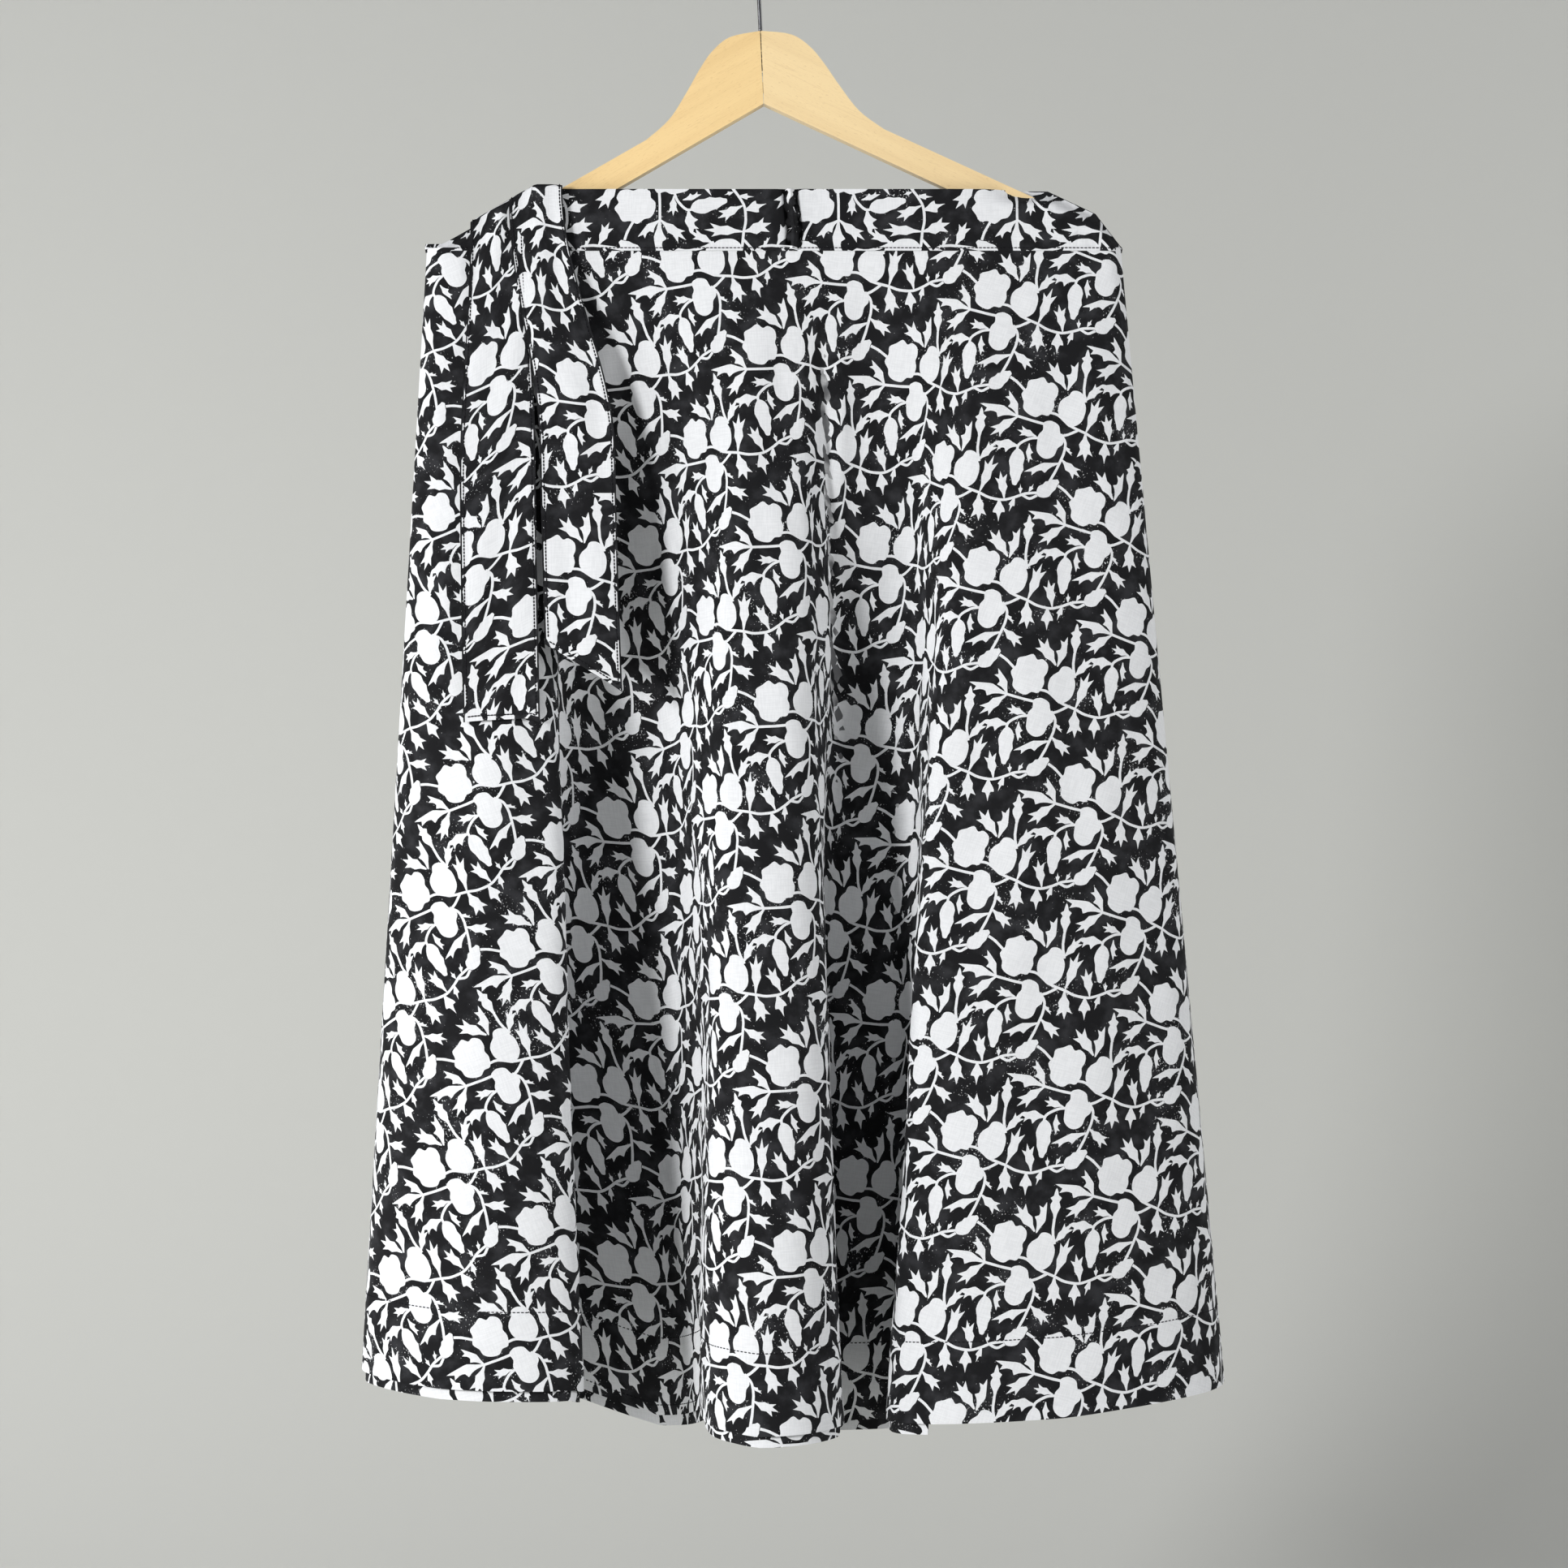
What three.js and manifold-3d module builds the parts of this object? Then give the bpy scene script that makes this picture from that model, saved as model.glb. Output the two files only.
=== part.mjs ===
// A printed cotton wrap skirt on a flat wooden coat hanger with a wire hook.
// Millimetres, +Z up, the front of the skirt faces -Y, the origin is where the hook bears on its rail.
import * as THREE from "three";
import { mergeVertices } from "three/addons/utils/BufferGeometryUtils.js";
import Module from "manifold-3d";

const wasm = await Module();
wasm.setup();

// ---- hanger ----
const hangerTilt = 2.6; // degrees that the loaded hanger leans, its left end low
const wireDiameter = 2.8;
const hookInnerRadius = 20; // takes a rail of up to 32 mm
const neckRise = 14; // height of the bend between the stem and the curl
const stemRise = 28; // bare straight stem above the wood
const shankDepth = 26; // wire inside the wood, down to the top of its head
const headDiameter = 5.2;
const headHeight = 2.6;
const headOverlap = 0.5; // how far the head runs up the wire that it is formed on
const hookGap = 96; // degrees of the curl left open, at its left
const hookStart = -52; // degrees from level, where the neck runs into the curl
const boreClearance = 0.4; // round the wire and its head, all over
const hangerThickness = 12;
const hubHeight = 52.6; // at the glued centre joint
const armAngle = 27.2; // degrees that the arms fall from level
const armRootX = 86; // where the hump has run out into the straight arm
const armRootDrop = 75; // how far the upper edge has come down there
const armDepth = 21; // across the arm at its end
const humpOutline = [
  [0, 0],
  [22, 3.5],
  [35.3, 13],
  [45.3, 26],
  [55.3, 42],
  [68.8, 61],
]; // x and drop of the hump's upper edge, from the centre joint
const dowelDiameter = 8;
const dowelLength = 32;
const dowelDrop = 40; // below the top of the hump
const glueGap = 0.3; // between pieces that are glued or rest face to face

// ---- skirt ----
const clothWall = 1.2;
const facingWall = 0.8;
const seatGap = 0.5; // between faces that are sewn together
const hangGap = 0.6; // between layers that hang free of each other
const hangerEase = 1; // between the inner layer and the hanger's faces
const waistWidth = 503; // of the tied waist, laid flat
const leftEase = 20; // from the hanger's left tip to the left side of the waist
const rightEase = 26;
const bandDrop = 200; // from the rail to the top of the waistband
const bandHeight = 44;
const bandLeast = 6; // the least that the band stands above its seam
const bandRise = 10; // how far the cloth stands above the arm where it lies over it
const panelLength = 840; // from the waist seam to the hem, at its longest
const hemFlareLeft = 47; // how far the hem stands out past the waist
const hemFlareRight = 75;
const foldDepth = 85; // half of the depth of the folds at the hem
const facingHeight = 57;
const underDrop = 8; // how far the under panel hangs below the front panel
const underShare = 0.8; // of the front that the under panel covers
const sideGap = 0.6; // between the edges that meet at a side seam
const waistTurn = 14; // length over which the waist turns round its side

// ---- ties ----
const tieWall = 1.6;
const tieGap = 2.4; // between the cloth and a tie's inner face
const tieTopWidth = 29; // gathered where a tie comes over the band
const tieWidth = 48; // spread out lower down
const tieSpread = 190; // length over which it spreads
const tieStart = 52; // from the left of the waist to the middle of the left tie
const tieBeside = 2.5; // between the two ties
const tieDrift = 14; // how far the right tie's tip strays from the left tie
// The ends are cut on a slant: each tie's two side lengths, and its strays to the right.
const ties = [
  { name: "tie_left", leftLength: 358, rightLength: 386, beside: 0, drift: 3 },
  { name: "tie_right", leftLength: 330, rightLength: 364, beside: 1, drift: 3 + tieDrift },
];

// ---- fineness ----
const stemSteps = 4;
const curlSteps = 24;
const wireSteps = 54;
const roundSides = 24;
const frontSteps = 108; // facets round the front
const backSteps = 84;
const clothLevels = [0.7, 0.35, 0]; // shares of the way down with a row of points, above the hem's
const tieLevels = 9;
const tieColumns = 4;

const degrees = Math.PI / 180;
const root = new THREE.Group();

function finish(color, roughness, metalness) {
  return new THREE.MeshStandardMaterial({ color, roughness, metalness });
}

function addPiece(parent, name, geometry, material) {
  const mesh = new THREE.Mesh(geometry, material);
  mesh.name = name;
  parent.add(mesh);
  return mesh;
}

// ---- booleans ----
function toSolid(geometry) {
  const bare = geometry.clone();
  bare.deleteAttribute("normal");
  bare.deleteAttribute("uv");
  const merged = mergeVertices(bare, 1e-4);
  return new wasm.Manifold(
    new wasm.Mesh({
      numProp: 3,
      vertProperties: merged.attributes.position.array,
      triVerts: new Uint32Array(merged.index.array),
    }),
  );
}

function toGeometry(solid) {
  const mesh = solid.getMesh();
  return new THREE.BufferGeometry()
    .setAttribute("position", new THREE.BufferAttribute(mesh.vertProperties, 3))
    .setIndex(new THREE.BufferAttribute(mesh.triVerts, 1));
}

// A cylinder of the given diameter that stands on z = low and ends at z = high, round x = 0.
function uprightCylinder(diameter, low, high) {
  return new THREE.CylinderGeometry(diameter / 2, diameter / 2, high - low, roundSides)
    .rotateX(Math.PI / 2)
    .translate(0, 0, (low + high) / 2);
}

// ---- hook and hanger, in a group that leans about the point of bearing ----
const humpTop = -(2 * hookInnerRadius + wireDiameter + neckRise + stemRise);
const leaning = new THREE.Group();
leaning.rotation.y = -hangerTilt * degrees;
root.add(leaning);

function hookPath() {
  const curl = hookInnerRadius + wireDiameter / 2;
  const points = [];
  for (let step = 0; step <= stemSteps; step++)
    points.push(
      new THREE.Vector3(0, 0, humpTop - shankDepth + ((shankDepth + stemRise) * step) / stemSteps),
    );
  for (let step = 0; step <= curlSteps; step++) {
    const angle = (hookStart + ((360 - hookGap) * step) / curlSteps) * degrees;
    points.push(
      new THREE.Vector3(
        curl * Math.cos(angle),
        0,
        -hookInnerRadius + curl * Math.sin(angle),
      ),
    );
  }
  return new THREE.CatmullRomCurve3(points);
}

function makeHook() {
  const section = new THREE.Shape().absarc(0, 0, wireDiameter / 2, 0, 2 * Math.PI);
  const wire = new THREE.ExtrudeGeometry(section, {
    extrudePath: hookPath(),
    steps: wireSteps,
    curveSegments: 5,
  });
  const headTop = humpTop - shankDepth + headOverlap;
  const head = uprightCylinder(headDiameter, headTop - headHeight, headTop);
  addPiece(
    leaning,
    "hook",
    toGeometry(toSolid(wire).add(toSolid(head))),
    finish(0xc9ccd0, 0.18, 1),
  );
}

const tipX = (waistWidth - leftEase - rightEase) / 2; // half of the hanger's span
const armSlope = Math.tan(armAngle * degrees);

function upperDrop(x) {
  return armRootDrop + (x - armRootX) * armSlope;
}

function armShape() {
  const upper = humpOutline.map(([x, drop]) => new THREE.Vector2(x, humpTop - drop));
  upper.push(new THREE.Vector2(armRootX, humpTop - armRootDrop));
  upper[0].x = glueGap / 2;
  const hump = new THREE.SplineCurve(upper).getPoints(30);
  const tipRadius = armDepth / 2;
  const tipCentre = new THREE.Vector2(
    tipX - tipRadius,
    humpTop - upperDrop(tipX - tipRadius) - tipRadius / Math.cos(armAngle * degrees),
  );
  const shape = new THREE.Shape(hump);
  shape.absarc(
    tipCentre.x,
    tipCentre.y,
    tipRadius,
    (90 - armAngle) * degrees,
    (-90 - armAngle) * degrees,
    true,
  );
  shape.lineTo(glueGap / 2, humpTop - hubHeight);
  shape.closePath();
  return shape;
}

function makeArms() {
  const bore = uprightCylinder(
    wireDiameter + 2 * boreClearance,
    humpTop - shankDepth,
    humpTop + 2,
  );
  const pocket = uprightCylinder(
    headDiameter + 2 * boreClearance,
    humpTop - shankDepth - headHeight - boreClearance,
    humpTop - shankDepth + headOverlap + boreClearance,
  );
  const dowelHole = new THREE.CylinderGeometry(
    dowelDiameter / 2 + glueGap,
    dowelDiameter / 2 + glueGap,
    dowelLength + 2 * glueGap,
    roundSides,
  )
    .rotateZ(Math.PI / 2)
    .translate(0, 0, humpTop - dowelDrop);
  const cuts = toSolid(bore).add(toSolid(pocket)).add(toSolid(dowelHole));
  for (const [name, side] of [["hanger_arm_left", -1], ["hanger_arm_right", 1]]) {
    const blank = new THREE.ExtrudeGeometry(armShape(), {
      depth: hangerThickness,
      bevelEnabled: false,
      curveSegments: 10,
    })
      .rotateX(Math.PI / 2)
      .translate(0, hangerThickness / 2, 0);
    if (side < 0) blank.rotateZ(Math.PI);
    addPiece(
      leaning,
      name,
      toGeometry(toSolid(blank).subtract(cuts)),
      finish(0xe0b878, 0.5, 0),
    );
  }
  addPiece(
    leaning,
    "centre_dowel",
    new THREE.CylinderGeometry(dowelDiameter / 2, dowelDiameter / 2, dowelLength, roundSides)
      .rotateZ(Math.PI / 2)
      .translate(0, 0, humpTop - dowelDrop),
    finish(0xd9b27a, 0.6, 0),
  );
}

// ---- cloth ----
// The waist and hem follow closed loops seen from above, run anticlockwise: the front from left
// to right, the back from right to left. A ruling joins each point of the waist to its point of the hem.
const tipDrop = -humpTop + upperDrop(tipX);
const tipShift = tipDrop * Math.sin(hangerTilt * degrees);
const waistLeft = tipShift - tipX - leftEase;
const waistRight = waistLeft + waistWidth;
const seamZ = -(bandDrop + bandHeight);
const hemLeft = waistLeft - hemFlareLeft;
const hemRight = waistRight + hemFlareRight;
const layerGap = seatGap + facingWall + hangGap; // between the front and the under panel
const frontReach = hangerThickness / 2 + hangerEase + 2 * clothWall + layerGap;
const backReach = hangerThickness / 2 + hangerEase + clothWall;

// Points of the hem: share of its width from the left, and share of the fold depth, minus to the front.
const frontFolds = [
  [0, 0], [0.012, -0.36], [0.06, -0.68], [0.15, -0.86], [0.225, -0.8], [0.262, -0.6],
  [0.242, -0.22], [0.208, 0.12], [0.205, 0.5], [0.25, 0.8], [0.318, 0.84], [0.368, 0.6],
  [0.392, 0.1], [0.396, -0.45], [0.412, -0.92], [0.46, -1.16], [0.52, -1.1], [0.556, -0.76],
  [0.545, -0.24], [0.52, 0.2], [0.522, 0.6], [0.57, 0.84], [0.62, 0.76], [0.645, 0.36],
  [0.628, -0.1], [0.607, -0.5], [0.624, -0.82], [0.7, -0.98], [0.81, -0.98], [0.92, -0.76],
  [0.985, -0.4], [1, 0],
];
const backFolds = [
  [1, 0], [0.985, 0.45], [0.93, 0.9], [0.86, 1.12], [0.79, 1], [0.752, 0.64], [0.72, 0.45],
  [0.69, 0.64], [0.665, 1.1], [0.62, 1.52], [0.56, 1.52], [0.515, 1.2], [0.488, 0.7],
  [0.46, 0.48], [0.43, 0.7], [0.405, 1.15], [0.36, 1.52], [0.27, 1.56], [0.205, 1.26],
  [0.175, 0.8], [0.14, 0.52], [0.1, 0.62], [0.05, 0.86], [0.015, 0.5], [0, 0],
];
// Height of the hem above its lowest level, by share of the width from the left.
const hemRises = [[0, 34], [0.1, 28], [0.25, 26], [0.34, 6], [0.46, 0], [0.62, 4], [0.8, 10], [1, 24]];

function hemRise(share) {
  const next = Math.max(1, hemRises.findIndex(([at]) => at >= share));
  const [lowAt, lowRise] = hemRises[next - 1];
  const [highAt, highRise] = hemRises[next];
  return THREE.MathUtils.mapLinear(share, lowAt, highAt, lowRise, highRise);
}

// The hem's loop, with its left end moved in by inset.
function hemCurve(folds, inset) {
  const width = hemRight - hemLeft - inset;
  return new THREE.SplineCurve(
    folds.map(([across, depth]) =>
      new THREE.Vector2(hemLeft + inset + across * width, depth * foldDepth)),
  );
}

// The waist's loop: flat along the hanger's face, and round to the seam at each side.
function waistCurve(reach, side, inset) {
  const centres = [waistLeft + inset + waistTurn, waistRight - waistTurn];
  if (side > 0) centres.reverse();
  const start = side < 0 ? Math.PI : 0;
  const quarter = Math.PI / 2;
  return new THREE.Path()
    .absellipse(centres[0], 0, waistTurn, reach, start, start + quarter)
    .lineTo(centres[1], side * reach)
    .absellipse(centres[1], 0, waistTurn, reach, start + quarter, start + 2 * quarter);
}

const front = { waist: waistCurve(frontReach, -1, 0), hem: hemCurve(frontFolds, 0), steps: frontSteps };
const inset = clothWall + layerGap;
const back = { waist: waistCurve(backReach, 1, inset), hem: hemCurve(backFolds, inset), steps: backSteps };

// One point of a panel: along runs round the loop and down from the waist seam to the hem, both 0 to 1.
function clothPoint(panel, along, down) {
  const waist = panel.waist.getPointAt(along);
  const hem = panel.hem.getPointAt(along);
  const tangent = panel.waist
    .getTangentAt(along)
    .multiplyScalar(panel.waist.getLength() * (1 - down))
    .addScaledVector(panel.hem.getTangentAt(along), panel.hem.getLength() * down)
    .normalize();
  const share = (hem.x - hemLeft) / (hemRight - hemLeft);
  const hemZ = seamZ - panelLength + hemRise(THREE.MathUtils.clamp(share, 0, 1));
  return {
    x: THREE.MathUtils.lerp(waist.x, hem.x, down),
    y: THREE.MathUtils.lerp(waist.y, hem.y, down),
    z: THREE.MathUtils.lerp(seamZ - seatGap / 2, hemZ, down),
    outX: tangent.y,
    outY: -tangent.x,
  };
}

// A closed sheet through rows of points, lowest row first: from its outer face, wall thick inwards.
function sheetGeometry(rows, outer, wall) {
  const high = rows.length;
  const wide = rows[0].length;
  const positions = [];
  for (const offset of [outer, outer - wall])
    for (const row of rows)
      for (const point of row)
        positions.push(point.x + point.outX * offset, point.y + point.outY * offset, point.z);
  const at = (face, row, column) => (face * high + row) * wide + column;
  const index = [];
  const quad = (a, b, c, d) => index.push(a, b, c, a, c, d);
  for (let row = 0; row < high - 1; row++) {
    for (let column = 0; column < wide - 1; column++) {
      quad(at(0, row, column), at(0, row, column + 1), at(0, row + 1, column + 1), at(0, row + 1, column));
      quad(at(1, row, column), at(1, row + 1, column), at(1, row + 1, column + 1), at(1, row, column + 1));
    }
    const last = wide - 1;
    quad(at(0, row, 0), at(0, row + 1, 0), at(1, row + 1, 0), at(1, row, 0));
    quad(at(0, row, last), at(1, row, last), at(1, row + 1, last), at(0, row + 1, last));
  }
  for (let column = 0; column < wide - 1; column++) {
    const top = high - 1;
    quad(at(0, 0, column), at(1, 0, column), at(1, 0, column + 1), at(0, 0, column + 1));
    quad(at(0, top, column), at(0, top, column + 1), at(1, top, column + 1), at(1, top, column));
  }
  return new THREE.BufferGeometry()
    .setAttribute("position", new THREE.Float32BufferAttribute(positions, 3))
    .setIndex(index);
}

// Rows of a panel from low to high (shares of the way down), over part of the way round, with
// trim steps left off at each end. Every layer is cut at the same places on the loop, so that
// its facets lie along its neighbour's, and at a side seam the layers lie straight beside each other.
function panelRows(panel, to, levels, trim = 0) {
  const gap = sideGap / 2 / panel.waist.getLength();
  const last = Math.round(panel.steps * to) - trim;
  return levels.map((down) => {
    const row = [];
    for (let step = trim; step <= last; step++) {
      const point = clothPoint(panel, THREE.MathUtils.clamp(step / panel.steps, gap, 1 - gap), down);
      if (step === 0 || step === panel.steps)
        Object.assign(point, { outX: Math.sign(point.outX), outY: 0 });
      row.push(point);
    }
    return row;
  });
}

// The top edge of the band: level, and down along the arm where the cloth lies over it.
function bandTop(x) {
  const tilt = hangerTilt * degrees;
  const middle = tipShift;
  const out = Math.abs(x - middle);
  const arm = humpTop - upperDrop(out) + Math.sin(tilt) * (x - middle) + bandRise;
  return Math.max(Math.min(-bandDrop, arm), seamZ + bandLeast);
}

function bandRows(panel, to) {
  const seam = panelRows(panel, to, [0])[0];
  const lowest = seam.map((point) => ({ ...point, z: seamZ + seatGap / 2 }));
  const highest = seam.map((point) => ({ ...point, z: bandTop(point.x) }));
  return [lowest, highest];
}

function makeCloth() {
  const print = finish(0x8e8c8a, 0.9, 0);
  const underOffset = -(clothWall + layerGap);
  const facingOffset = -(clothWall + seatGap);
  const layers = [
    ["front", front, 1, 1, 0],
    ["under", front, underShare, 1 + underDrop / panelLength, underOffset],
    ["back", back, 1, 1, 0],
  ];
  for (const [name, panel, to, hem, offset] of layers) {
    const panelShape = sheetGeometry(panelRows(panel, to, [hem, ...clothLevels]), offset, clothWall);
    addPiece(root, name + "_panel", panelShape, print);
    const bandShape = sheetGeometry(bandRows(panel, to), offset, clothWall);
    addPiece(root, "waistband_" + name, bandShape, print);
    const facingRows = panelRows(panel, to, [hem, hem - facingHeight / panelLength], 1);
    const facingShape = sheetGeometry(facingRows, offset + facingOffset, facingWall);
    addPiece(root, "hem_facing_" + name, facingShape, print);
  }
}

const leftLobeShare = 0.35; // of the hem's width, in which the left lobe lies
// How far out the ties hang: in front of the band, and then leaning along the left lobe of the front.
const leftCrest = Math.max(
  ...frontFolds.filter(([across]) => across < leftLobeShare).map(([, depth]) => -depth * foldDepth),
);
const tieLean = (leftCrest - frontReach) / (panelLength - hemRises[0][1]);

// The middle and the width of a tie, a given length below its top.
function tiePlace(tie, down) {
  const width = THREE.MathUtils.lerp(
    tieTopWidth,
    tieWidth,
    THREE.MathUtils.smoothstep(down, 0, tieSpread),
  );
  const share = down / tie.rightLength;
  const beside = tie.beside * (width + tieBeside);
  return { middle: waistLeft + tieStart + beside + tie.drift * share * share, width };
}

function tieRows(tie) {
  const topZ = bandTop(tiePlace(tie, 0).middle - tieTopWidth / 2);
  const rows = [];
  for (let level = tieLevels; level >= 0; level--) {
    const row = [];
    for (let column = 0; column <= tieColumns; column++) {
      const length = THREE.MathUtils.lerp(tie.leftLength, tie.rightLength, column / tieColumns);
      const down = (length * level) / tieLevels;
      const { middle, width } = tiePlace(tie, down);
      const z = topZ - down;
      row.push({
        x: middle + (column / tieColumns - 0.5) * width,
        y: -(frontReach + tieGap) - tieLean * Math.max(0, seamZ - z),
        z,
        outX: 0,
        outY: -1,
      });
    }
    rows.push(row);
  }
  return rows;
}

function makeTies() {
  for (const tie of ties)
    addPiece(root, tie.name, sheetGeometry(tieRows(tie), tieWall, tieWall), finish(0x8e8c8a, 0.9, 0));
}

makeHook();
makeArms();
makeCloth();
makeTies();

export default root;
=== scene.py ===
import math

import bpy
import numpy as np
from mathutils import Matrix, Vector
from mathutils.geometry import delaunay_2d_cdt
from mathutils.kdtree import KDTree


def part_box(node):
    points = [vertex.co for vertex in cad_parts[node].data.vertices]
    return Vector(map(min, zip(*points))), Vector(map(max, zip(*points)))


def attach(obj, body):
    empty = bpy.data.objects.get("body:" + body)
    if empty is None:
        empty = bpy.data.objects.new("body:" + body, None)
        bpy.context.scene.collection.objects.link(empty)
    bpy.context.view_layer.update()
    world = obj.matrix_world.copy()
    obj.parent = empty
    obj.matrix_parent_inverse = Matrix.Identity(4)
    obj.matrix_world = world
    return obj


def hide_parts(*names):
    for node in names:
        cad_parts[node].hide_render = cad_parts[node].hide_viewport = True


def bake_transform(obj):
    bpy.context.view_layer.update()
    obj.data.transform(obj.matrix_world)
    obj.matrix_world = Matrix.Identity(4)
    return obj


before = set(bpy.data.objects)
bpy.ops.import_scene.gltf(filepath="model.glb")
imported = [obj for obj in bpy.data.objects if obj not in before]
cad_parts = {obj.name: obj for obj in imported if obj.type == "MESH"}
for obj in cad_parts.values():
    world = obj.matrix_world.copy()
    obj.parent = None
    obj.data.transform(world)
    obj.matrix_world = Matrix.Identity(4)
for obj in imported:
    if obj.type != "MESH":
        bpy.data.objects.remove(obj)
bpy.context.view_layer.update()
bpy.ops.object.select_all(action="DESELECT")
mm = 0.001
view = bpy.context.scene

# a printed cotton wrap skirt, hung from its waist on a wooden coat hanger
hanger = {
    "tilt": math.radians(2.6),  # the left end hangs low
    "hump": -0.0848,  # top of the wood
    "armRoot": 0.086,
    "armRootDrop": 0.075,
    "armFall": math.radians(27.2),
    "slack": 0.00001,  # points nearer than this are merged before the edges are rounded
    "rounding": 0.0026,
    "dowelRounding": 0.0004,
}
skirt = {
    "waistLeft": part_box("waistband_front")[0].x,
    "waistRight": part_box("waistband_front")[1].x,
    "seam": -0.244,  # height of the waist seam
    "bandTop": -0.2,
    "bandRise": 0.010,  # how far the cloth stands above the arm it lies over
    "bandLeast": 0.006,
    "length": 0.840,
    "hemLeft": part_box("waistband_front")[0].x - 0.047,
    "hemRight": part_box("waistband_front")[1].x + 0.075,
    "foldDepth": 0.085,
    "frontReach": 0.0113,  # from the middle plane to the front's face
    "backReach": 0.0082,
    "leftEase": 0.020,  # from the hanger's left tip to the side of the waist
    "rightEase": 0.026,
    "waistTurn": 0.014,
    "layer": 0.0031,  # from the front's face to the under panel's face
    "underShare": 0.8,
    "underDrop": 0.008,
    "recessDrop": 0.3,  # the hem hangs lower where the front folds in
    "facing": 0.057,
    "facingCloth": 0.0005,
    "facingGap": 0.0003,
    "cloth": 0.0006,
}


def mode(name):
    bpy.ops.object.mode_set(mode=name)


def smooth(value, low, high):
    t = np.clip((value - low) / (high - low), 0, 1)
    return t * t * (3 - 2 * t)


def ripple(x, y, size, seed):  # soft uneven waves about size long, from -1 to 1 or so
    draw = np.random.default_rng(seed)
    total = 0
    for turn, phase, stretch in zip(
        draw.uniform(0, math.pi, 7), draw.uniform(0, 2 * math.pi, 7), draw.uniform(0.6, 1.5, 7)
    ):
        along = (x * math.cos(turn) + y * math.sin(turn)) * 2 * math.pi * stretch / size
        total = total + np.sin(along + phase)
    return total / 3


def smoothLine(points, each):  # a rounded line through the points, with this many steps between two
    p = np.array(points, float)
    last = len(p) - 1
    out = []
    for t in np.linspace(0, last, last * each + 1):
        i = min(int(t), last - 1)
        w = t - i
        a, b, c, d = p[max(i - 1, 0)], p[i], p[i + 1], p[min(i + 2, last)]
        v0, v1 = (c - a) / 2, (d - b) / 2
        out.append(
            (2 * b - 2 * c + v0 + v1) * w**3 + (-3 * b + 3 * c - 2 * v0 - v1) * w**2 + v0 * w + b
        )
    return np.array(out)


def measured(line):  # a line with the share of its length at each point
    steps = np.linalg.norm(np.diff(line, axis=0), axis=1)
    reached = np.concatenate([[0], np.cumsum(steps)])
    return {"points": line, "share": reached / reached[-1], "length": reached[-1]}


def onLine(line, share):
    return np.stack([np.interp(share, line["share"], line["points"][:, k]) for k in (0, 1)], -1)


def newMaterial(name, roughness, **sockets):
    material = bpy.data.materials.new(name)
    material.use_nodes = True
    shader = material.node_tree.nodes["Principled BSDF"]
    shader.inputs["Roughness"].default_value = roughness
    for socket, value in sockets.items():
        shader.inputs[socket.replace("_", " ")].default_value = value
    return material, material.node_tree, shader


def put(tree, kind, settings=None, **inputs):
    made = tree.nodes.new(kind)
    for key, value in (settings or {}).items():
        setattr(made, key, value)
    for key, value in inputs.items():
        socket = made.inputs[int(key[1:])] if key[0] == "i" and key[1:].isdigit() else made.inputs[key]
        if isinstance(value, bpy.types.NodeSocket):
            tree.links.new(value, socket)
        else:
            socket.default_value = value
    return made


def sums(tree, kind, a, b):
    return put(tree, "ShaderNodeMath", {"operation": kind}, i0=a, i1=b).outputs[0]


def ramp(tree, value, low, high):  # 0 below low, 1 above high
    node = put(tree, "ShaderNodeMapRange", {"interpolation_type": "SMOOTHSTEP"}, Value=value)
    node.inputs["From Min"].default_value = low
    node.inputs["From Max"].default_value = high
    return node.outputs[0]


def finishMaterial(tree, shader, colour, strength, distance, height):
    tree.links.new(colour, shader.inputs["Base Color"])
    relief = put(tree, "ShaderNodeBump", Strength=strength, Distance=distance, Height=height)
    tree.links.new(relief.outputs[0], shader.inputs["Normal"])


def blendColours(tree, share, a, b):
    node = put(tree, "ShaderNodeMix", {"data_type": "RGBA"})
    for socket, value in ((0, share), (6, a), (7, b)):
        if isinstance(value, bpy.types.NodeSocket):
            tree.links.new(value, node.inputs[socket])
        else:
            node.inputs[socket].default_value = value
    return node.outputs[2]


def spots(tree, where, scale, detail=2.0, rough=0.5):
    node = put(tree, "ShaderNodeTexNoise", Vector=where, Scale=scale, Detail=detail, Roughness=rough)
    return node.outputs[0]


def stretched(tree, where, scale):
    node = put(tree, "ShaderNodeMapping", Vector=where)
    node.inputs["Scale"].default_value = scale
    return node.outputs[0]


cotton = {
    "ground": (0.009, 0.0092, 0.0105, 1),  # the black dye
    "worn": (0.03, 0.0305, 0.034, 1),  # where the block printed thin
    "white": (0.84, 0.85, 0.87, 1),
    "shadedWhite": (0.78, 0.79, 0.81, 1),
    "wrongDark": (0.13, 0.132, 0.138, 1),  # the print as it shows through on the wrong side
    "wrongLight": (0.5, 0.505, 0.515, 1),
    "thread": 2300,  # threads to the metre in the weave's relief
    "waves": 3.18,  # threads that one unit of the wave texture's scale makes
    "slubs": (90, 900, 1),  # uneven threads, long and thin
    "specks": (760, 520, 1),  # where the dye missed the cloth
    "weaveDepth": 0.00015,
    "crumpleDepth": 0.0014,
    # soft inner edge of the painted hem shade on the ties
    "hemShadeFade": 0.0002,
}


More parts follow.
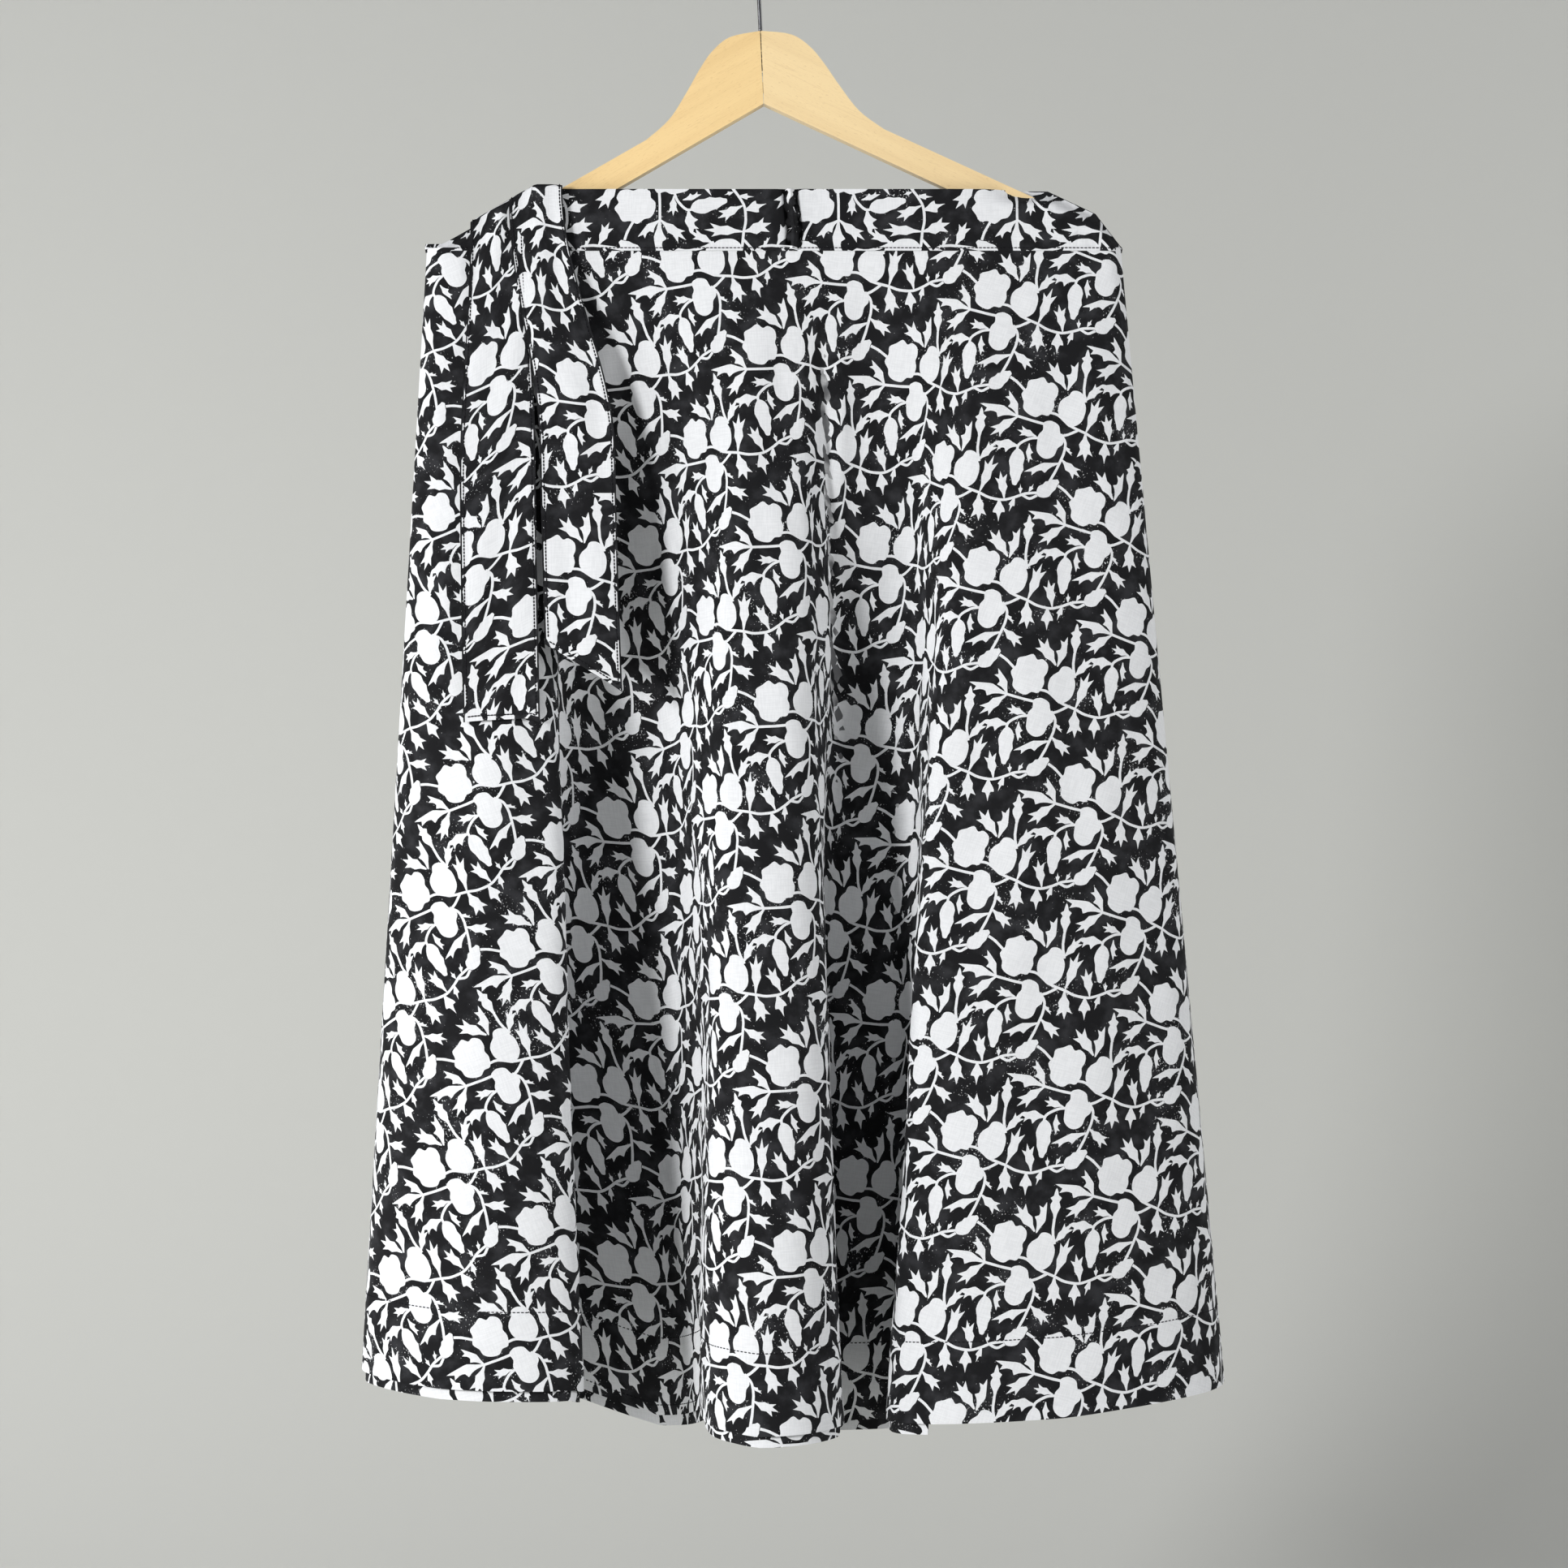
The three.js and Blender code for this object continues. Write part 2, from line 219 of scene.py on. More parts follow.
def clothNodes(tree, shader, colour):
    uv = put(tree, "ShaderNodeUVMap", {"uv_map": "cloth"}).outputs[0]
    scale = cotton["thread"] / cotton["waves"]
    warp, weft = (
        put(tree, "ShaderNodeTexWave", {"bands_direction": way}, Vector=uv, Scale=scale, Distortion=1.5).outputs[1]
        for way in "XY"
    )
    long, thin, flat = cotton["slubs"]
    along = spots(tree, stretched(tree, uv, (long, thin, flat)), 1.0)
    across = spots(tree, stretched(tree, uv, (thin, long, flat)), 1.0)
    slubs = sums(tree, "ADD", along, across)
    weave = sums(tree, "ADD", sums(tree, "MULTIPLY", warp, weft), slubs)
    relief = put(tree, "ShaderNodeBump", Strength=0.22, Distance=cotton["weaveDepth"], Height=weave)
    crumple = put(tree, "ShaderNodeBump", Strength=0.6, Distance=cotton["crumpleDepth"], Height=spots(tree, uv, 34, 3.0))
    tree.links.new(relief.outputs[0], crumple.inputs["Normal"])
    tree.links.new(crumple.outputs[0], shader.inputs["Normal"])
    tree.links.new(colour(uv, slubs), shader.inputs["Base Color"])


def makePrint(name, edge=None):  # edge is half the width between the two long edges, along which a dark band of painted hem shade is laid
    material, tree, shader = newMaterial(name, 0.85, Sheen_Weight=0.02, Specular_IOR_Level=0.15)
    ink = put(tree, "ShaderNodeAttribute", {"attribute_name": "ink"}).outputs["Fac"]
    rim = put(tree, "ShaderNodeAttribute", {"attribute_name": "rim"}).outputs["Fac"]

    def colour(uv, slubs):
        thin = ramp(tree, spots(tree, uv, 70, 4.0), 0.42, 0.72)
        dye = blendColours(tree, thin, cotton["ground"], cotton["worn"])
        dry = sums(tree, "MULTIPLY", ramp(tree, spots(tree, uv, 30, 2.0), 0.46, 0.7), 0.1)
        dry = sums(tree, "ADD", dry, sums(tree, "MULTIPLY", rim, 0.06))
        missed = spots(tree, stretched(tree, uv, cotton["specks"]), 1.0, 2.0, 0.6)
        speck = ramp(tree, sums(tree, "ADD", missed, dry), 0.745, 0.79)
        dye = blendColours(tree, sums(tree, "MULTIPLY", speck, 0.8), dye, cotton["shadedWhite"])
        white = blendColours(tree, ramp(tree, slubs, 0.8, 1.2), cotton["shadedWhite"], cotton["white"])
        dark = ink
        # painted shade: a dark band along both long edges stands in for the shadow of the turned hem, together with its
        # black thread
        if edge:
            across = put(tree, "ShaderNodeSeparateXYZ", Vector=uv).outputs[0]
            paintedHemShade = ramp(tree, sums(tree, "ABSOLUTE", across, 0.0), edge, edge + cotton["hemShadeFade"])
            dark = sums(tree, "MAXIMUM", ink, paintedHemShade)
        return blendColours(tree, dark, white, dye)

    clothNodes(tree, shader, colour)
    return material


def makeWrongSide():  # the print shows through faintly
    material, tree, shader = newMaterial("wrongSide", 0.88, Sheen_Weight=0.1)

    def colour(uv, slubs):
        ghost = ramp(tree, spots(tree, uv, 42, 2.0), 0.44, 0.56)
        shade = sums(tree, "MULTIPLY", ghost, sums(tree, "MULTIPLY", slubs, 0.9))
        return blendColours(tree, shade, cotton["wrongDark"], cotton["wrongLight"])

    clothNodes(tree, shader, colour)
    return material


thread = {"dark": (0.008, 0.008, 0.01, 1), "light": (0.02, 0.02, 0.023, 1), "length": 2.5 * mm, "width": 0.75 * mm}


def makeThread():
    material, tree, shader = newMaterial("blackThread", 0.9, Specular_IOR_Level=0.15)
    where = put(tree, "ShaderNodeTexCoord").outputs["Object"]
    shade = blendColours(tree, ramp(tree, spots(tree, where, 500), 0.3, 0.7), thread["dark"], thread["light"])
    finishMaterial(tree, shader, shade, 0.5, 0.0001, spots(tree, where, 4000))
    return material


wood = {
    "left": (0.96, 0.7, 0.345, 1),
    "right": (0.96, 0.74, 0.415, 1),
    "dowel": (0.76, 0.55, 0.3, 1),
    # colour of the dark line painted where the two arms meet
    "jointLine": (0.02, 0.012, 0.008, 1),
    "jointLineHalf": (0.0005, 0.0002),  # half the dark joint line's width, where it starts and where it is full
    "jointLineFoot": (-0.122, -0.114),  # it fades out at the lower edge
}


def makeWood(name, turn, light):  # the grain runs along an arm that falls away at this angle
    material, tree, shader = newMaterial(name, 0.4, Coat_Weight=0.1, Coat_Roughness=0.3)
    darker = lambda share: tuple(c * share ** (1 + k * 0.35) for k, c in enumerate(light[:3])) + (1,)
    where = put(tree, "ShaderNodeTexCoord").outputs["Object"]
    along = put(tree, "ShaderNodeVectorRotate", {"rotation_type": "Y_AXIS"}, Vector=where, Angle=turn).outputs[0]
    broad = spots(tree, stretched(tree, along, (4, 60, 110)), 1.0, 3.0)
    fine = spots(tree, stretched(tree, along, (40, 900, 900)), 1.0, 4.0, 0.6)
    flecks = spots(tree, stretched(tree, along, (260, 1500, 1500)), 1.0, 1.0)
    colour = blendColours(tree, ramp(tree, broad, 0.35, 0.75), light, darker(0.93))
    colour = blendColours(tree, sums(tree, "MULTIPLY", ramp(tree, fine, 0.5, 0.75), 0.5), colour, darker(0.86))
    colour = blendColours(tree, sums(tree, "MULTIPLY", ramp(tree, flecks, 0.6, 0.72), 0.4), colour, darker(0.72))
    upright = put(tree, "ShaderNodeVectorRotate", {"rotation_type": "Y_AXIS"}, Vector=where, Angle=hanger["tilt"])
    parts = put(tree, "ShaderNodeSeparateXYZ", Vector=upright.outputs[0]).outputs
    joint = ramp(tree, sums(tree, "ABSOLUTE", parts[0], 0.0), *wood["jointLineHalf"])  # where the two arms meet
    joint = sums(tree, "MULTIPLY", joint, ramp(tree, parts[2], *wood["jointLineFoot"]))
    # a dark dashed line painted down the joint of the two arms, fading out towards the lower edge
    dashes = ramp(tree, spots(tree, stretched(tree, where, (1, 1, 520)), 1.0, 1.0), 0.36, 0.5)
    colour = blendColours(tree, sums(tree, "MULTIPLY", joint, dashes), colour, wood["jointLine"])
    finishMaterial(tree, shader, colour, 0.25, 0.0002, fine)
    return material


def makeWire():
    material, tree, shader = newMaterial("brightWire", 0.22, Metallic=1.0)
    where = put(tree, "ShaderNodeTexCoord").outputs["Object"]
    drawn = spots(tree, stretched(tree, where, (2500, 2500, 60)), 1.0, 3.0)
    colour = blendColours(tree, ramp(tree, drawn, 0.35, 0.65), (0.1, 0.1, 0.105, 1), (0.2, 0.2, 0.21, 1))
    finishMaterial(tree, shader, colour, 0.2, 0.00005, drawn)
    return material


blockPrint = makePrint("blockPrint")
# the ties' print, with a band of painted hem shade along both long edges
tiePrintHemShade = makePrint("tiePrintHemShade", 0.0257)
wrongSide = makeWrongSide()
blackThread = makeThread()
print("materials made")

# the block that the print repeats: trailing flowers, pods and leaves, in millimetres
leafShapes = {  # outlines from the stalk at 0 to the tip at 1, across from -0.5 to 0.5
    "crown": [
        (0, 0.05), (0.2, 0.12), (0.38, 0.31), (0.56, 0.3), (0.8, 0.5), (0.72, 0.2), (1, 0.06), (0.74, -0.08),
        (0.86, -0.42), (0.58, -0.25), (0.4, -0.34), (0.2, -0.14), (0, -0.05),
    ],
    "claw": [
        (0, 0.05), (0.2, 0.13), (0.36, 0.3), (0.46, 0.5), (0.53, 0.24), (0.68, 0.25), (0.83, 0.46), (0.8, 0.14),
        (1, 0.02), (0.78, -0.14), (0.6, -0.25), (0.42, -0.34), (0.22, -0.18), (0, -0.05),
    ],
    "bell": [
        (0, 0.06), (0.2, 0.22), (0.38, 0.42), (0.57, 0.5), (0.57, 0.24), (0.76, 0.1), (1, 0.02), (0.77, -0.08),
        (0.6, -0.22), (0.57, -0.48), (0.38, -0.38), (0.2, -0.2), (0, -0.06),
    ],
    "tulip": [
        (0, 0.06), (0.2, 0.16), (0.36, 0.4), (0.5, 0.44), (0.6, 0.3), (0.69, 0.5), (0.76, 0.22), (0.88, 0.16),
        (1, 0.03), (0.88, -0.12), (0.78, -0.18), (0.7, -0.46), (0.58, -0.28), (0.42, -0.42), (0.22, -0.18),
        (0, -0.06),
    ],
    "pod": [
        (0, 0.1), (0.08, 0.34), (0.25, 0.5), (0.42, 0.44), (0.56, 0.5), (0.7, 0.36), (0.84, 0.32), (0.92, 0.2),
        (1, 0.12), (0.98, -0.12), (0.86, -0.2), (0.7, -0.36), (0.52, -0.4), (0.34, -0.5), (0.14, -0.36), (0, -0.1),
    ],
}
block = {
    "across": (117.6, 0.0),  # one repeat along the weft
    "down": (58.8, -64.4),  # and half a repeat on, in the next row
    "stem": 1.9,
    "leafWidth": 0.88,
    "slack": 0.1,  # corners nearer than this to the line between their neighbours are left out
    "flowers": [  # centre, width, height, outline from -0.5 to 0.5
        ((0.5, 0.5), 25.5, 29.5, [
            (-0.06, 0.5), (0.1, 0.4), (0.24, 0.45), (0.43, 0.36), (0.48, 0.18), (0.44, 0.04), (0.5, -0.12),
            (0.43, -0.36), (0.24, -0.39), (0.1, -0.5), (-0.14, -0.48), (-0.32, -0.38), (-0.37, -0.22), (-0.5, -0.06),
            (-0.42, 0.12), (-0.43, 0.3), (-0.24, 0.4),
        ]),
        ((26, 0.6), 20, 27, [
            (0, 0.5), (0.2, 0.45), (0.3, 0.3), (0.45, 0.14), (0.5, -0.1), (0.45, -0.3), (0.26, -0.46), (0.08, -0.5),
            (-0.2, -0.38), (-0.44, -0.22), (-0.5, 0.02), (-0.42, 0.18), (-0.27, 0.3), (-0.2, 0.45),
        ]),
        ((18.3, -26.8), 18.2, 27.5, [
            (-0.1, 0.5), (0.16, 0.44), (0.3, 0.27), (0.5, 0.17), (0.54, 0), (0.4, -0.14), (0.36, -0.36),
            (0.16, -0.49), (-0.1, -0.5), (-0.36, -0.38), (-0.46, -0.16), (-0.5, 0.04), (-0.4, 0.2), (-0.47, 0.38),
            (-0.3, 0.48),
        ]),
    ],
    "leaves": [  # shape, stalk, tip, width
        ("crown", (17, 12.5), (-1, 27.5), 13.5), ("claw", (18.5, 12), (19, 34.5), 11),
        ("tulip", (28, 23.5), (22.5, 46), 9.5), ("crown", (32.5, 8.5), (41, 25), 9.5),
        ("claw", (-2.5, -38), (-19.5, -41), 13), ("crown", (8, -27.5), (-6.5, -26.5), 9),
        ("claw", (5, -34), (9, -47.5), 7), ("pod", (-1.5, -40), (4.5, -66), 12.5),
        ("claw", (-9.5, -17.5), (-21.5, -1.5), 10), ("claw", (-9.5, -17.5), (-38.5, -16), 12.5),
        ("crown", (-9.5, -18), (-24.5, -36), 12), ("crown", (41, -12.5), (43, 15), 12),
        ("crown", (41, -14), (46.5, -33.5), 14), ("crown", (59.5, -12.5), (51, 5.5), 11),
        ("bell", (56.5, -14.5), (61, -30), 10), ("bell", (66.5, -9.5), (66, -21), 5),
        ("bell", (69.5, -6), (67.5, 0.5), 3.5), ("bell", (75, -3), (76.5, 3.5), 3.5),
        ("pod", (82, -3.5), (93, 11.5), 12), ("claw", (30, -27), (37, -32.5), 4),
        ("crown", (31, -37.5), (47.5, -46), 11), ("claw", (30.5, -40.5), (8, -54.5), 10),
    ],
    "stems": [
        [(-24, 8), (-18, 6), (-11, 2)], [(10, -8), (18, -7.5), (28.5, -12), (41, -13.5)],
        [(22, -23), (29, -19), (35, -13.5)], [(41, -13.5), (49, -15), (59, -14), (67, -9.5), (73, -5), (83, -1)],
        [(71, -6.5), (77, -7.5), (81.5, -3.5)],
        [(24.5, -20), (29.5, -25), (31, -32), (30.5, -40), (29.5, -48), (27, -60)],
        [(11, -27.5), (4, -30.5), (-2, -37), (-1, -43)], [(10, -17), (2, -17.5), (-11, -17.5)],
        [(27.5, 25), (29, 17.5), (31, 12.5), (33.5, 8)], [(38.5, 20.5), (41, 24.5), (45, 25.5)],
    ],
}


def flowerShape(centre, wide, tall, outline):
    looped = smoothLine([outline[-1], *outline, outline[0], outline[1]], 3)[3:-4]
    return looped * (wide, tall) + centre


def leafShape(name, stalk, tip, width):
    stalk, tip = np.array(stalk, float), np.array(tip, float)
    run = tip - stalk
    side = np.array([-run[1], run[0]]) / np.linalg.norm(run) * width * block["leafWidth"]
    outline = [stalk + run * a + side * b for a, b in leafShapes[name]]
    return smoothLine([*outline, outline[0]], 2)[:-1]


def stemShape(points):
    line = smoothLine(points, 4)
    way = np.gradient(line, axis=0)
    side = np.stack([-way[:, 1], way[:, 0]], -1) / np.linalg.norm(way, axis=1)[:, None] * block["stem"] / 2
    return np.concatenate([line - side, (line + side)[::-1]])


def thinned(outline):
    kept = [0]
    for k in range(1, len(outline)):
        start, end = outline[kept[-1]], outline[(k + 1) % len(outline)]
        run, over = end - start, outline[kept[-1] + 1: k + 1] - start
        off = np.abs(run[0] * over[:, 1] - run[1] * over[:, 0]) / np.linalg.norm(run)
        if off.max() > block["slack"]:
            kept.append(k)
    return outline[kept]


def makeBlock():
    shapes = [flowerShape(*flower) for flower in block["flowers"]]
    shapes += [leafShape(*leaf) for leaf in block["leaves"]]
    shapes += [stemShape(points) for points in block["stems"]]
    for shape in shapes:  # all run the same way round
        x, y = shape[:, 0], shape[:, 1]
        if np.sum(x * np.roll(y, -1) - np.roll(x, -1) * y) < 0:
            shape[:] = shape[::-1].copy()
    return [thinned(shape) for shape in shapes]


blockShapes = makeBlock()


def printedShapes(outline, origin, turn):  # all the shapes that lie on a cut
    low, high = outline.min(0) - 2, outline.max(0) + 2
    size, step = 90, 60  # a little more than the block reaches, a little less than it moves on
    c, s = math.cos(turn), math.sin(turn)
    spin = np.array([[c, -s], [s, c]])
    reach = int(np.linalg.norm(high - low) / step + np.linalg.norm((low + high) / 2 - origin) / step) + 3
    found = []
    for i in range(-reach, reach + 1):
        for j in range(-reach, reach + 1):
            place = i * np.array(block["across"]) + j * np.array(block["down"])
            centre = spin @ place + origin
            if np.any(centre < low - size) or np.any(centre > high + size):
                continue
            for shape in blockShapes:
                moved = (shape + place) @ spin.T + origin
                if np.all(moved.max(0) > low) and np.all(moved.min(0) < high):
                    found.append(moved)
    return found


# cloth is cut flat, printed, and then hung


def inOutline(points, outline):
    inside = np.zeros(len(points), bool)
    for a, b in zip(outline, np.roll(outline, -1, axis=0)):
        crosses = (a[1] > points[:, 1]) != (b[1] > points[:, 1])
        if a[1] != b[1]:
            at = (b[0] - a[0]) * (points[:, 1] - a[1]) / (b[1] - a[1]) + a[0]
            inside ^= crosses & (points[:, 0] < at)
    return inside


def gridIn(outline, spacing, clearOf, clear):  # loose points inside, in rows, off the corners
    low, high = outline.min(0), outline.max(0)
    rows = np.arange(low[1], high[1], spacing * 0.87)
    xs = np.arange(low[0], high[0], spacing)
    grid = np.array([(x + (k % 2) * spacing / 2, y) for k, y in enumerate(rows) for x in xs])
    grid = grid[inOutline(grid, outline)]
    tree = KDTree(len(clearOf))
    for k, p in enumerate(clearOf):
        tree.insert((p[0], p[1], 0), k)
    tree.balance()
    return np.array([p for p in grid if tree.find((p[0], p[1], 0))[2] > clear]).reshape(-1, 2)


def triangulate(outline, shapes, loose):  # plain is true off the shapes, came is the outline's corner or -1
    points, faces = [], []
    for shape in [outline, *shapes]:
        faces.append(list(range(len(points), len(points) + len(shape))))
        points.extend(shape)
    count = len(points)
    points.extend(loose)
    made = delaunay_2d_cdt([Vector(p) for p in points], [], faces, 1, 1e-4, True)
    verts = np.array([tuple(v) for v in made[0]])
    kept = [k for k, origin in enumerate(made[5]) if 0 in origin]
    tris = np.array([made[2][k] for k in kept])
    plain = np.array([not any(origin for origin in made[5][k]) for k in kept])
    onShape = np.array([any(i < count for i in came) or not came for came in made[3]])
    came = [next((i for i in found if i < len(outline)), -1) for found in made[3]]
    used = np.unique(tris)
    renumber = np.full(len(verts), -1)
    renumber[used] = np.arange(len(used))
    tris = renumber[tris]
    verts = verts[used]
    a, b, c = (verts[tris[:, k]] for k in range(3))
    turned = np.cross(b - a, c - a) < 0
    tris[turned] = tris[turned][:, ::-1]
    return verts, tris, plain, onShape[used], np.array(came)[used]


def edgeLoop(tris):  # the open edge, in order
    edges = np.concatenate([tris[:, [0, 1]], tris[:, [1, 2]], tris[:, [2, 0]]])
    size = tris.max() + 1
    there, back = edges[:, 0] * size + edges[:, 1], edges[:, 1] * size + edges[:, 0]
    edges = edges[~np.isin(there, back)]
    following = dict(edges.tolist())
    loop = [int(edges[0, 0])]
    while following[loop[-1]] != loop[0]:
        loop.append(following[loop[-1]])
    return np.array(loop)


def facing(place, flat):  # the outward direction of the cloth at each flat point
    step = 0.4
    right = place(flat + (step, 0)) - place(flat - (step, 0))
    up = place(flat + (0, step)) - place(flat - (0, step))
    out = np.cross(right, up)
    return out / np.maximum(np.linalg.norm(out, axis=1), 1e-12)[:, None]


def cutSheet(
    name, outline, place, wall, fine, coarse, origin, turn=0.0, extra=None, inside=wrongSide, outside=blockPrint
):
    shapes = printedShapes(outline, np.array(origin, float), turn)
    loose = gridIn(outline, fine, np.concatenate([outline, *shapes]), fine * 0.3)
    if extra is not None:
        loose = np.concatenate([loose, extra])
    flat, tris, plain, onShape, _ = triangulate(outline, shapes, loose)
    loop = edgeLoop(tris)
    face = place(flat)
    out = facing(place, flat)

    rimFlat = flat[loop]
    innerFlat, innerTris, _, _, came = triangulate(rimFlat, [], gridIn(outline, coarse, rimFlat, coarse * 0.4))
    innerOut = facing(place, innerFlat)
    inner = place(innerFlat) - innerOut * wall
    start = len(face)
    partner = {int(c): k + start for k, c in enumerate(came) if c >= 0}
    ring = []
    for k in range(len(loop)):
        a, b = k, (k + 1) % len(loop)
        if a in partner and b in partner:
            ring += [(loop[b], loop[a], partner[a]), (loop[b], partner[a], partner[b])]
    faces = np.concatenate([tris, innerTris[:, ::-1] + start, np.array(ring)])
    verts = np.concatenate([face, inner])
    mesh = bpy.data.meshes.new(name)
    mesh.from_pydata(verts.tolist(), [], faces.tolist())
    mesh.materials.append(outside)
    mesh.materials.append(inside)
    slots = np.zeros(len(faces), np.int32)
    slots[len(tris): len(tris) + len(innerTris)] = 1
    mesh.polygons.foreach_set("material_index", slots)
    mesh.polygons.foreach_set("use_smooth", np.ones(len(faces), bool))
    ink = np.ones(len(faces))
    ink[: len(tris)] = plain
    mesh.attributes.new("ink", "FLOAT", "CORNER").data.foreach_set("value", np.repeat(ink, 3).astype(np.float32))
    rim = np.zeros(len(verts), np.float32)
    rim[: len(face)] = onShape
    mesh.attributes.new("rim", "FLOAT", "POINT").data.foreach_set("value", rim)
    both = np.concatenate([flat, innerFlat]) * mm
    flatUv = both[faces.reshape(-1)].astype(np.float32).reshape(-1)
    mesh.uv_layers.new(name="cloth").data.foreach_set("uv", flatUv)
    mesh.normals_split_custom_set_from_vertices(np.concatenate([out, -innerOut]).tolist())
    mesh.validate()
    made = bpy.data.objects.new(name, mesh)
    view.collection.objects.link(made)
    print(name, len(faces), "faces")
    return made


def stitchRow(name, places, ways, outs, length=thread["length"], width=thread["width"]):
    verts, faces = [], []
    for place, way, out in zip(places, ways, outs):
        side = np.cross(out, way)
        side /= np.linalg.norm(side)
        first = len(verts)
        for share, high in ((-0.5, 0), (-0.3, 1), (0.3, 1), (0.5, 0)):
            middle = place + way * length * share
            if not high:
                verts.append(middle - out * width * 0.4)
                continue
            for a, b in ((1, 0.1), (0, 0.55), (-1, 0.1), (0, -0.5)):
                verts.append(middle + side * a * width / 2 + out * b * width)
        for k in range(4):
            n = (k + 1) % 4
            faces += [(first, first + 1 + n, first + 1 + k), (first + 9, first + 5 + k, first + 5 + n),
                      (first + 1 + k, first + 1 + n, first + 5 + n, first + 5 + k)]
    mesh = bpy.data.meshes.new(name)
    mesh.from_pydata([tuple(v) for v in verts], [], faces)
    mesh.materials.append(blackThread)
    mesh.polygons.foreach_set("use_smooth", np.ones(len(faces), bool))
    made = bpy.data.objects.new(name, mesh)
    view.collection.objects.link(made)
    bpy.ops.object.select_all(action="DESELECT")
    made.select_set(True)
    view.view_layers[0].objects.active = made
    mode("EDIT")
    bpy.ops.mesh.select_all(action="SELECT")
    bpy.ops.mesh.normals_make_consistent(inside=False)
    mode("OBJECT")
    made.select_set(False)
    return made


def stitchesAlong(name, place, line, pitch=3.0, lift=0.15 * mm, **sizes):  # line is in the flat cut
    path = measured(np.array(line, float))
    count = int(path["length"] / pitch)
    flat = onLine(path, (np.arange(count) + 0.5) / count)
    ahead = onLine(path, (np.arange(count) + 0.7) / count)
    outs = facing(place, flat)
    here, there = place(flat), place(ahead)
    ways = (there - here) / np.linalg.norm(there - here, axis=1)[:, None]
    return stitchRow(name, here + outs * lift, ways, outs, **sizes)


# the panels: loops of the waist and the hem seen from above, joined by straight lines of cloth
frontFolds = [  # share of the hem's width from the left, share of the fold depth, minus to the front
    (0, 0), (0.012, -0.36), (0.06, -0.68), (0.15, -0.86), (0.225, -0.8), (0.262, -0.6), (0.242, -0.22), (0.208, 0.12),
    (0.205, 0.5), (0.25, 0.8), (0.318, 0.84), (0.368, 0.6), (0.392, 0.1), (0.396, -0.45), (0.412, -0.92),
    (0.46, -1.16), (0.52, -1.1), (0.556, -0.76), (0.545, -0.24), (0.52, 0.2), (0.522, 0.6), (0.57, 0.84),
    (0.62, 0.76), (0.645, 0.36), (0.628, -0.1), (0.607, -0.5), (0.624, -0.82), (0.7, -0.98), (0.81, -0.98),
    (0.92, -0.76), (0.985, -0.4), (1, 0),
]
backFolds = [
    (1, 0), (0.985, 0.45), (0.93, 0.9), (0.86, 1.12), (0.79, 1), (0.752, 0.64), (0.72, 0.45), (0.69, 0.64),
    (0.665, 1.1), (0.62, 1.52), (0.56, 1.52), (0.515, 1.2), (0.488, 0.7), (0.46, 0.48), (0.43, 0.7), (0.405, 1.15),
    (0.36, 1.52), (0.27, 1.56), (0.205, 1.26), (0.175, 0.8), (0.14, 0.52), (0.1, 0.62), (0.05, 0.86), (0.015, 0.5),
    (0, 0),
]
hemRises = [(0, 0.034), (0.1, 0.028), (0.25, 0.026), (0.34, 0.006), (0.46, 0), (0.62, 0.004), (0.8, 0.01), (1, 0.024)]


def hemLoop(folds, inset):
    width = skirt["hemRight"] - skirt["hemLeft"] - inset
    points = [(skirt["hemLeft"] + inset + across * width, depth * skirt["foldDepth"]) for across, depth in folds]
    return measured(smoothLine(points, 60))


def waistLoop(reach, side, inset):
    turn = skirt["waistTurn"]
    ends = [skirt["waistLeft"] + inset + turn, skirt["waistRight"] - turn]
    start = math.pi
    if side > 0:
        ends.reverse()
        start = 0
    angles = np.linspace(0, math.pi / 2, 40)
    corner = lambda centre, a: np.stack([centre + turn * np.cos(a), reach * np.sin(a)], -1)
    return measured(np.concatenate([corner(ends[0], start + angles), corner(ends[1], start + math.pi / 2 + angles)]))


def makeLoop(folds, reach, side, inset):
    loop = {"waist": waistLoop(reach, side, inset), "hem": hemLoop(folds, inset), "side": side}
    for part in ("waist", "hem"):
        points = loop[part]["points"]
        loop[part + "Way"] = {"points": np.gradient(points, axis=0), "share": loop[part]["share"]}
    loop["spread"] = (loop["hem"]["length"] - loop["waist"]["length"]) / skirt["length"]  # the sector's angle
    loop["radius"] = loop["waist"]["length"] / loop["spread"] / mm  # of its waist edge, in millimetres
    return loop


hang = {  # millimetres, and shares of the cloth's width and length
    "sway": (1.1, 105),  # broad soft waves: height, length
    "crumple": (0.35, 48),
    "pull": 0.35,  # how far the facing's stitches draw the cloth in
    "pullReach": 2.2,
    "valley": 0.555,  # where the cloth starts to fall into the middle fold
    "valleyDrift": 0.16,
    "valleyWidth": 0.013,
    "sink": 6.0,
}


frontLoop = makeLoop(frontFolds, skirt["frontReach"], -1, 0)
backLoop = makeLoop(backFolds, skirt["backReach"], 1, skirt["layer"])


